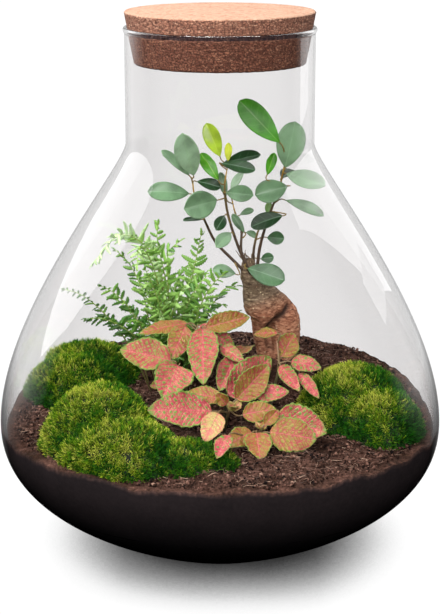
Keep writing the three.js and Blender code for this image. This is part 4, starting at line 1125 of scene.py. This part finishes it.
def root_legs(material):
    """Two smooth limbs grown into one skin, then wrinkled."""
    rough = Pile()
    for route, radii in FICUS_LEGS:
        points, faces, _ = tube(Path(route), radii, 28, 70)
        rough.add(points, faces)
    draft = rough.build("root_legs_draft", material)
    remesh = draft.modifiers.new("skin", "REMESH")
    remesh.mode = "VOXEL"
    remesh.voxel_size = SKIN_VOXEL * MM
    relax = draft.modifiers.new("relax", "SMOOTH")
    relax.factor, relax.iterations = 0.6, 10
    scene_graph = bpy.context.evaluated_depsgraph_get()
    mesh = bpy.data.meshes.new_from_object(draft.evaluated_get(scene_graph))
    bpy.data.objects.remove(draft)
    count = len(mesh.vertices)
    points, normals = np.zeros(count * 3), np.zeros(count * 3)
    mesh.vertices.foreach_get("co", points)
    mesh.vertices.foreach_get("normal", normals)
    points, normals = points.reshape(-1, 3) / MM, normals.reshape(-1, 3)
    flat = points * [1, 1, 2.4]
    push = 0.8 * lumps(points, 14) + 0.45 * lumps(flat, 4.5, 3) - 0.5 * np.abs(lumps(flat, 2.2, 6))
    corners = np.zeros(len(mesh.loops), np.int32)
    mesh.loops.foreach_get("vertex_index", corners)
    route = Path(ROOT_FOLD).at(np.linspace(0, 1, 40))
    away = np.linalg.norm((points[:, None] - route[None]) * [1, 0.45, 1], axis=-1).min(axis=1)
    # nearness to the crease: the skin is pushed in there and painted dark as painted shade
    fold = np.exp(-((away / 2.3) ** 2)) * (points[:, 1] < 56)
    skin = Pile().add(points + normals * (push - 1.8 * fold)[:, None], corners.reshape(-1, 4), fold=fold)
    skin.build("root_legs", material, "ficus_bark", ["ficus_trunk"])


def stump_twigs(material):
    """Short dry twigs on the cut top of the trunk."""
    twigs = Pile()
    for _ in range(9):
        start = np.array([19, 42, 171]) + rng.normal(0, 1.6, 3) * [1, 1, 0.4]
        lean = unit(np.array([rng.normal(0, 0.7), rng.normal(-0.2, 0.5), 1.0]))
        length = rng.uniform(4, 10)
        middle = start + lean * length * 0.5 + rng.normal(0, 0.8, 3)
        route = [start, middle, start + lean * length + rng.normal(0, 1.6, 3)]
        points, faces, _ = tube(Path(route, 8), [0.5, 0.35, 0.15], 6, 8)
        twigs.add(points, faces)
    twigs.build("stump_twigs", material, "ficus_bark")


def fittonia_plant(leaf_material, stem_material):
    limb = [1.1, 1.0, 0.9, 0.6], 10, 24
    blade = fittonia_outline, 45, 25, 0.4, fittonia_shape
    materials = leaf_material, stem_material
    leafy_stems("fittonia", FITTONIA_STEMS, "stems", limb, 0, 1, 0.5, blade, materials)
    buds = Pile()
    for middle, number, size, tone in FITTONIA_BUDS:
        for k in range(number):
            heading, rise = 360 * k / number + 20, rng.uniform(15, 60)
            length = size * rng.uniform(0.7, 1.1)
            shape = [heading, rise, length, 0.65 * length, rng.uniform(20, 80)]
            spec = (0, middle, *shape, tone - 0.5 * (k % 2))
            leaf(buds, spec, fittonia_outline, 17, 9, 0.4, fittonia_shape)
    buds.build("fittonia_buds", leaf_material, "fittonia_leaf")


# ---------------------------------------------------------------- fern


def pinna(pile, foot, out, forward, up, length, width, tone):
    """One leaflet of a frond: a blade with a round tip, cut into lobes on both edges."""
    lobes = max(3, int(round(length / 1.5)))
    rows = 2 * lobes + 1
    t = np.linspace(0, 1, rows)
    cut = np.where(np.arange(rows) % 2 == 1, 1.0, 0.52)
    half = width / 2 * np.sin(math.pi * (0.1 + 0.88 * t) ** 0.85) ** 0.55 * cut
    half[0] = 0.25
    centre = foot + out * (length * t)[:, None] + forward * (0.14 * length * t**2)[:, None]
    centre = centre - up * (0.2 * length * t**2)[:, None]
    left = centre + forward * half[:, None] + out * (0.35 * half)[:, None]
    right = centre - forward * half[:, None] + out * (0.35 * half)[:, None]
    lift = up * (0.3 * half)[:, None]
    grid = np.stack([right + lift, centre, left + lift], 1)
    rib = np.broadcast_to(np.array([0.0, 1.0, 0.0]), grid.shape[:2])
    sheet(pile, grid, 0.25, tone=np.full(grid.shape[:2], tone), rib=rib)


def frond(blades, stalks, route, bare, leaflet, twist, tone, pitch=4.0):
    """A stalk with pairs of leaflets at a pitch along its upper share, and one at its tip."""
    path = Path(route)
    level = np.cross(unit((path.points[-1] - path.points[0]) * [1, 1, 0]), [0, 0, 1])
    axis = path.run((1 + bare) / 2)
    a = math.radians(twist)
    across = level * math.cos(a) + np.cross(axis, level) * math.sin(a)
    across = across + axis * (axis @ level) * (1 - math.cos(a))
    points, faces, place = tube(path, [0.55, 0.5, 0.4, 0.2], 6, 30)
    stalks.add(points, faces, place=place)
    pairs = int(path.length * (0.98 - bare) / pitch)
    for k in range(pairs):
        share = (k + 0.5) / pairs
        spot = bare + (0.98 - bare) * share
        size = leaflet * math.sin(math.pi * (0.2 + 0.72 * share)) ** 0.8
        for hand in (1, -1):
            place = spot + hand * 0.25 * (0.98 - bare) / pairs
            run = path.run(place)
            up = unit(np.cross(across, run))
            side = np.cross(run, up)
            lean = math.radians(24 + rng.normal(0, 13))
            out = unit(side * hand * math.cos(lean) + run * math.sin(lean) + up * rng.normal(0, 0.38))
            forward = unit(run - out * (run @ out) + up * rng.normal(0, 0.35))
            forward = unit(forward - out * (forward @ out))
            top = np.cross(out, forward) * hand
            grown = size * rng.uniform(0.6, 1.15)
            shade = np.clip(tone + rng.normal(0, 0.17), 0, 1)
            wide = min(pitch * 0.95, 0.38 * grown + 0.6)
            pinna(blades, path.at(place), out, forward, top, grown, wide, shade)
    run = path.run(1.0)
    up = unit(np.cross(across, run))
    pinna(blades, path.at(0.97), run, np.cross(up, run), up, leaflet * 0.45, 2.4, tone)


def fern_plant(blade_material, stalk_material):
    for i, spec in enumerate(FERN_FRONDS, 1):
        blades, stalks = Pile(), Pile()
        frond(blades, stalks, *spec, pitch=2.8 if i == 1 else 4.0)
        blades.build(f"fern_blade_{i}", blade_material, "fern_leaf", [f"fern_frond_{i}"])
        stalks.build(f"fern_stalk_{i}", stalk_material, "fern_leaf")
    young_fronds(blade_material, stalk_material)


YOUNG_FRONDS = 44
YOUNG_FOOT = 83
YOUNG_TOPS = 108, 172


def young_fronds(blade_material, stalk_material):
    """The shorter fronds between the larger ones, paler the taller they are."""
    blades, stalks = Pile(), Pile()
    for _ in range(YOUNG_FRONDS):
        start = np.array([-32 + rng.uniform(-12, 12), 44 + rng.uniform(-10, 12), YOUNG_FOOT])
        turn = rng.uniform(0, 2 * math.pi)
        reach, top = rng.uniform(12, 40), rng.uniform(*YOUNG_TOPS)
        way = np.array([math.cos(turn) * 1.15 - 0.05, math.sin(turn) * 0.9, 0])
        rise = np.array([0, 0, top - YOUNG_FOOT])
        bends = (0, 0), (0.3, 0.55), (0.7, 0.9), (1, rng.uniform(0.85, 1.05))
        route = [start + way * reach * out + rise * up for out, up in bends]
        tone = np.clip((top - YOUNG_TOPS[0]) / 95 + rng.normal(0, 0.18), 0.02, 0.8)
        frond(blades, stalks, route, rng.uniform(0.25, 0.4), rng.uniform(6, 9.5), rng.uniform(-40, 80), tone)
    blades.build("fern_young_blades", blade_material, "fern_leaf")
    stalks.build("fern_young_stalks", stalk_material, "fern_leaf")


# ---------------------------------------------------------------- studio


def white_sweep():
    """A white floor that curves up into a wall all round. It glows evenly, with a painted soft shadow
    where something stands close over it. Gloss shows it only behind the vessel, as in a studio whose
    front is dark."""
    material, add = blank_material("white_sweep_paper")
    shade = add("AmbientOcclusion", {"Distance": 0.21}, samples=16)
    place = add("SeparateXYZ", add("TexCoord").outputs["Object"])
    sideways = add("Math", place.outputs["X"], operation="ABSOLUTE")
    # painted light and shade: the floor beside the foot is painted lighter, and the right of it darker
    painted_side_light = add("MapRange", sideways, 0.06, 0.13, 0.0, 0.1)
    painted_right_shade = add("MapRange", place.outputs["X"], 0.01, 0.06, 0.0, -0.05)
    sides = add("Math", painted_side_light, painted_right_shade, operation="ADD")
    painted_openness = add("Math", shade.outputs["AO"], sides, operation="ADD")
    # the painted shadow: dark round the foot, white where the floor lies open
    level = add("ValToRGB", painted_openness, ramp=[
        (0.0, 0.0), (0.1, 0.06), (0.25, 0.41), (0.38, 0.84), (0.52, 1.0),
    ])
    path = add("LightPath")
    # light that has been inside the glass comes out by its edges from a wider part of the wall
    inside = add("Math", path.outputs["Transmission Depth"], 0.5, operation="GREATER_THAN")
    slope = add("MapRange", inside, 0.0, 1.0, -0.45, -0.22)
    behind = add("Math", sideways, slope, place.outputs["Y"], operation="MULTIPLY_ADD")
    lit = add("MapRange", behind, 0.0, 0.5, 0.0, 0.76)
    mirrored = add("Math", path.outputs["Glossy Depth"], 0.5, operation="GREATER_THAN")
    part = add("MixRGB", mirrored, "#ffffff", lit)
    seen = add("MixRGB", 1.0, level, part, blend_type="MULTIPLY")
    add("OutputMaterial", add("Emission", {"Color": seen, "Strength": 1.04}))
    material.cycles.emission_sampling = "NONE"
    floor, bend, wall = 1700, 700, 4200
    turn = np.linspace(0, math.pi / 2, 24)
    curve = np.stack([floor + bend * np.sin(turn), bend - bend * np.cos(turn)], -1)
    line = np.vstack([[[0, 0], [200, 0], [800, 0]], curve, [[floor + bend, wall]]])
    angle = np.arange(96) * 2 * math.pi / 96
    points = polar(line[:, :1], angle, line[:, 1:])
    sweep = Pile().add(points, grid_faces(len(line), 96, closed=True))
    sweep = sweep.build("white_sweep", material, lit=False)
    sweep.visible_diffuse = sweep.visible_shadow = False


def reflector(name, corners, strength, shown_in=None):
    """A white card near the glass, which shows in its sheen. Corners are [x, y, z] in metres."""
    material, add = blank_material(name + "_card")
    add("OutputMaterial", add("Emission", {"Strength": strength}))
    faces = np.array([[0, k, k + 1] for k in range(1, len(corners) - 1)])
    card = Pile().add(np.array(corners) / MM, faces).build(name, material, lit=False)
    card.visible_camera = card.visible_transmission = card.visible_shadow = False
    if shown_in:
        card.visible_diffuse = False
        card.light_linking.receiver_collection = shown_in


def softbox(name, place, target, width, height, power):
    light = bpy.data.lights.new(name, "AREA")
    light.shape = "RECTANGLE"
    light.size, light.size_y = width, height
    light.energy = power
    lamp = bpy.data.objects.new(name, light)
    lamp.location = place
    lamp.rotation_euler = (Vector(target) - Vector(place)).to_track_quat("-Z", "Y").to_euler()
    lamp.visible_camera = lamp.visible_transmission = False
    lamp.light_linking.receiver_collection = LIT
    bpy.context.scene.collection.objects.link(lamp)


def sky_light(strength):
    """A soft light from all round and above, dark below."""
    world = bpy.data.worlds.new("studio")
    world.use_nodes = True
    world.node_tree.nodes.clear()
    add = functools.partial(node, world.node_tree)
    way = add("SeparateXYZ", add("TexCoord").outputs["Generated"])
    level = add("MapRange", way.outputs["Z"], 0.0, 0.3, 0.0, strength)
    glow = add("Background", {"Color": "#ffffff", "Strength": level})
    add("OutputWorld", glow)
    bpy.context.scene.world = world
    world.cycles_visibility.glossy = False


def studio():
    white_sweep()
    sky_light(0.35)
    softbox("top_softbox", (-0.55, -0.35, 1.4), (0, 0, 0.1), 0.6, 0.6, 34)
    softbox("front_softbox", (-0.45, -1.5, 1.0), (0, 0, 0.15), 0.8, 0.8, 40)
    softbox("side_softbox", (0.9, -1.2, 0.7), (0, 0, 0.15), 0.6, 0.6, 14)
    left = [(-0.2, 1.1), (0.22, 0.42), (0.44, 0.23), (0.62, 0.3), (1.15, 0.45), (1.15, 1.9), (-0.2, 1.9)]
    right = [(-0.17, 0.96), (0.67, 0.38), (1.3, 0.18), (1.3, 1.9), (-0.17, 1.9)]
    reflector("left_card", [(-1.0, y, z) for y, z in left], 3.0)
    reflector("right_card", [(1.0, y, z) for y, z in right], 2.2)
    neck = [(0.11, 0.22), (0.29, 0.22), (0.29, 0.29), (0.11, 0.29)]
    rim = [(-0.7, -0.38), (0.7, -0.38), (0.7, -0.04), (-0.7, -0.04)]
    top = [(-0.5, -0.8), (0.5, -0.8), (0.5, 0.9), (-0.5, 0.9)]
    reflector("neck_card", [(0.4, y, z) for y, z in neck], 1.6, GLASS)
    reflector("rim_card", [(x, y, 1.5) for x, y in rim], 30, GLASS)
    reflector("top_card", [(x, y, 1.7) for x, y in top], 1.8)
    bpy.context.scene.view_settings.view_transform = "Standard"


def camera():
    data = bpy.data.cameras.new("camera")
    data.sensor_width = 36.0
    data.lens = 96.16
    eye, target = Vector((0, -1.0, 0.4258)), Vector((0, 0, 0.1517))
    cam = bpy.data.objects.new("camera", data)
    cam.location = eye
    cam.rotation_euler = (target - eye).to_track_quat("-Z", "Y").to_euler()
    bpy.context.scene.collection.objects.link(cam)
    bpy.context.scene.camera = cam


# ---------------------------------------------------------------- the whole

camera()
glass_wall()
cork()
SOIL = potting_soil()
soil_bed(SOIL)
for layer in ("soil_crumbs", "soil_crumbs_loose"):
    soil_crumbs(layer, SOIL)
coir_fibres()
SHOOTS, BED = moss_shoots(), moss_bed()
for cushion, lobe_list in MOSS.items():
    moss_cushion(cushion, lobe_list, SHOOTS, BED)
ficus_plant(ficus_leaf(), young_wood(), ficus_bark())
fittonia_plant(fittonia_leaf(), fittonia_stem())
fern_plant(fern_leaf(), fern_stalk())
studio()
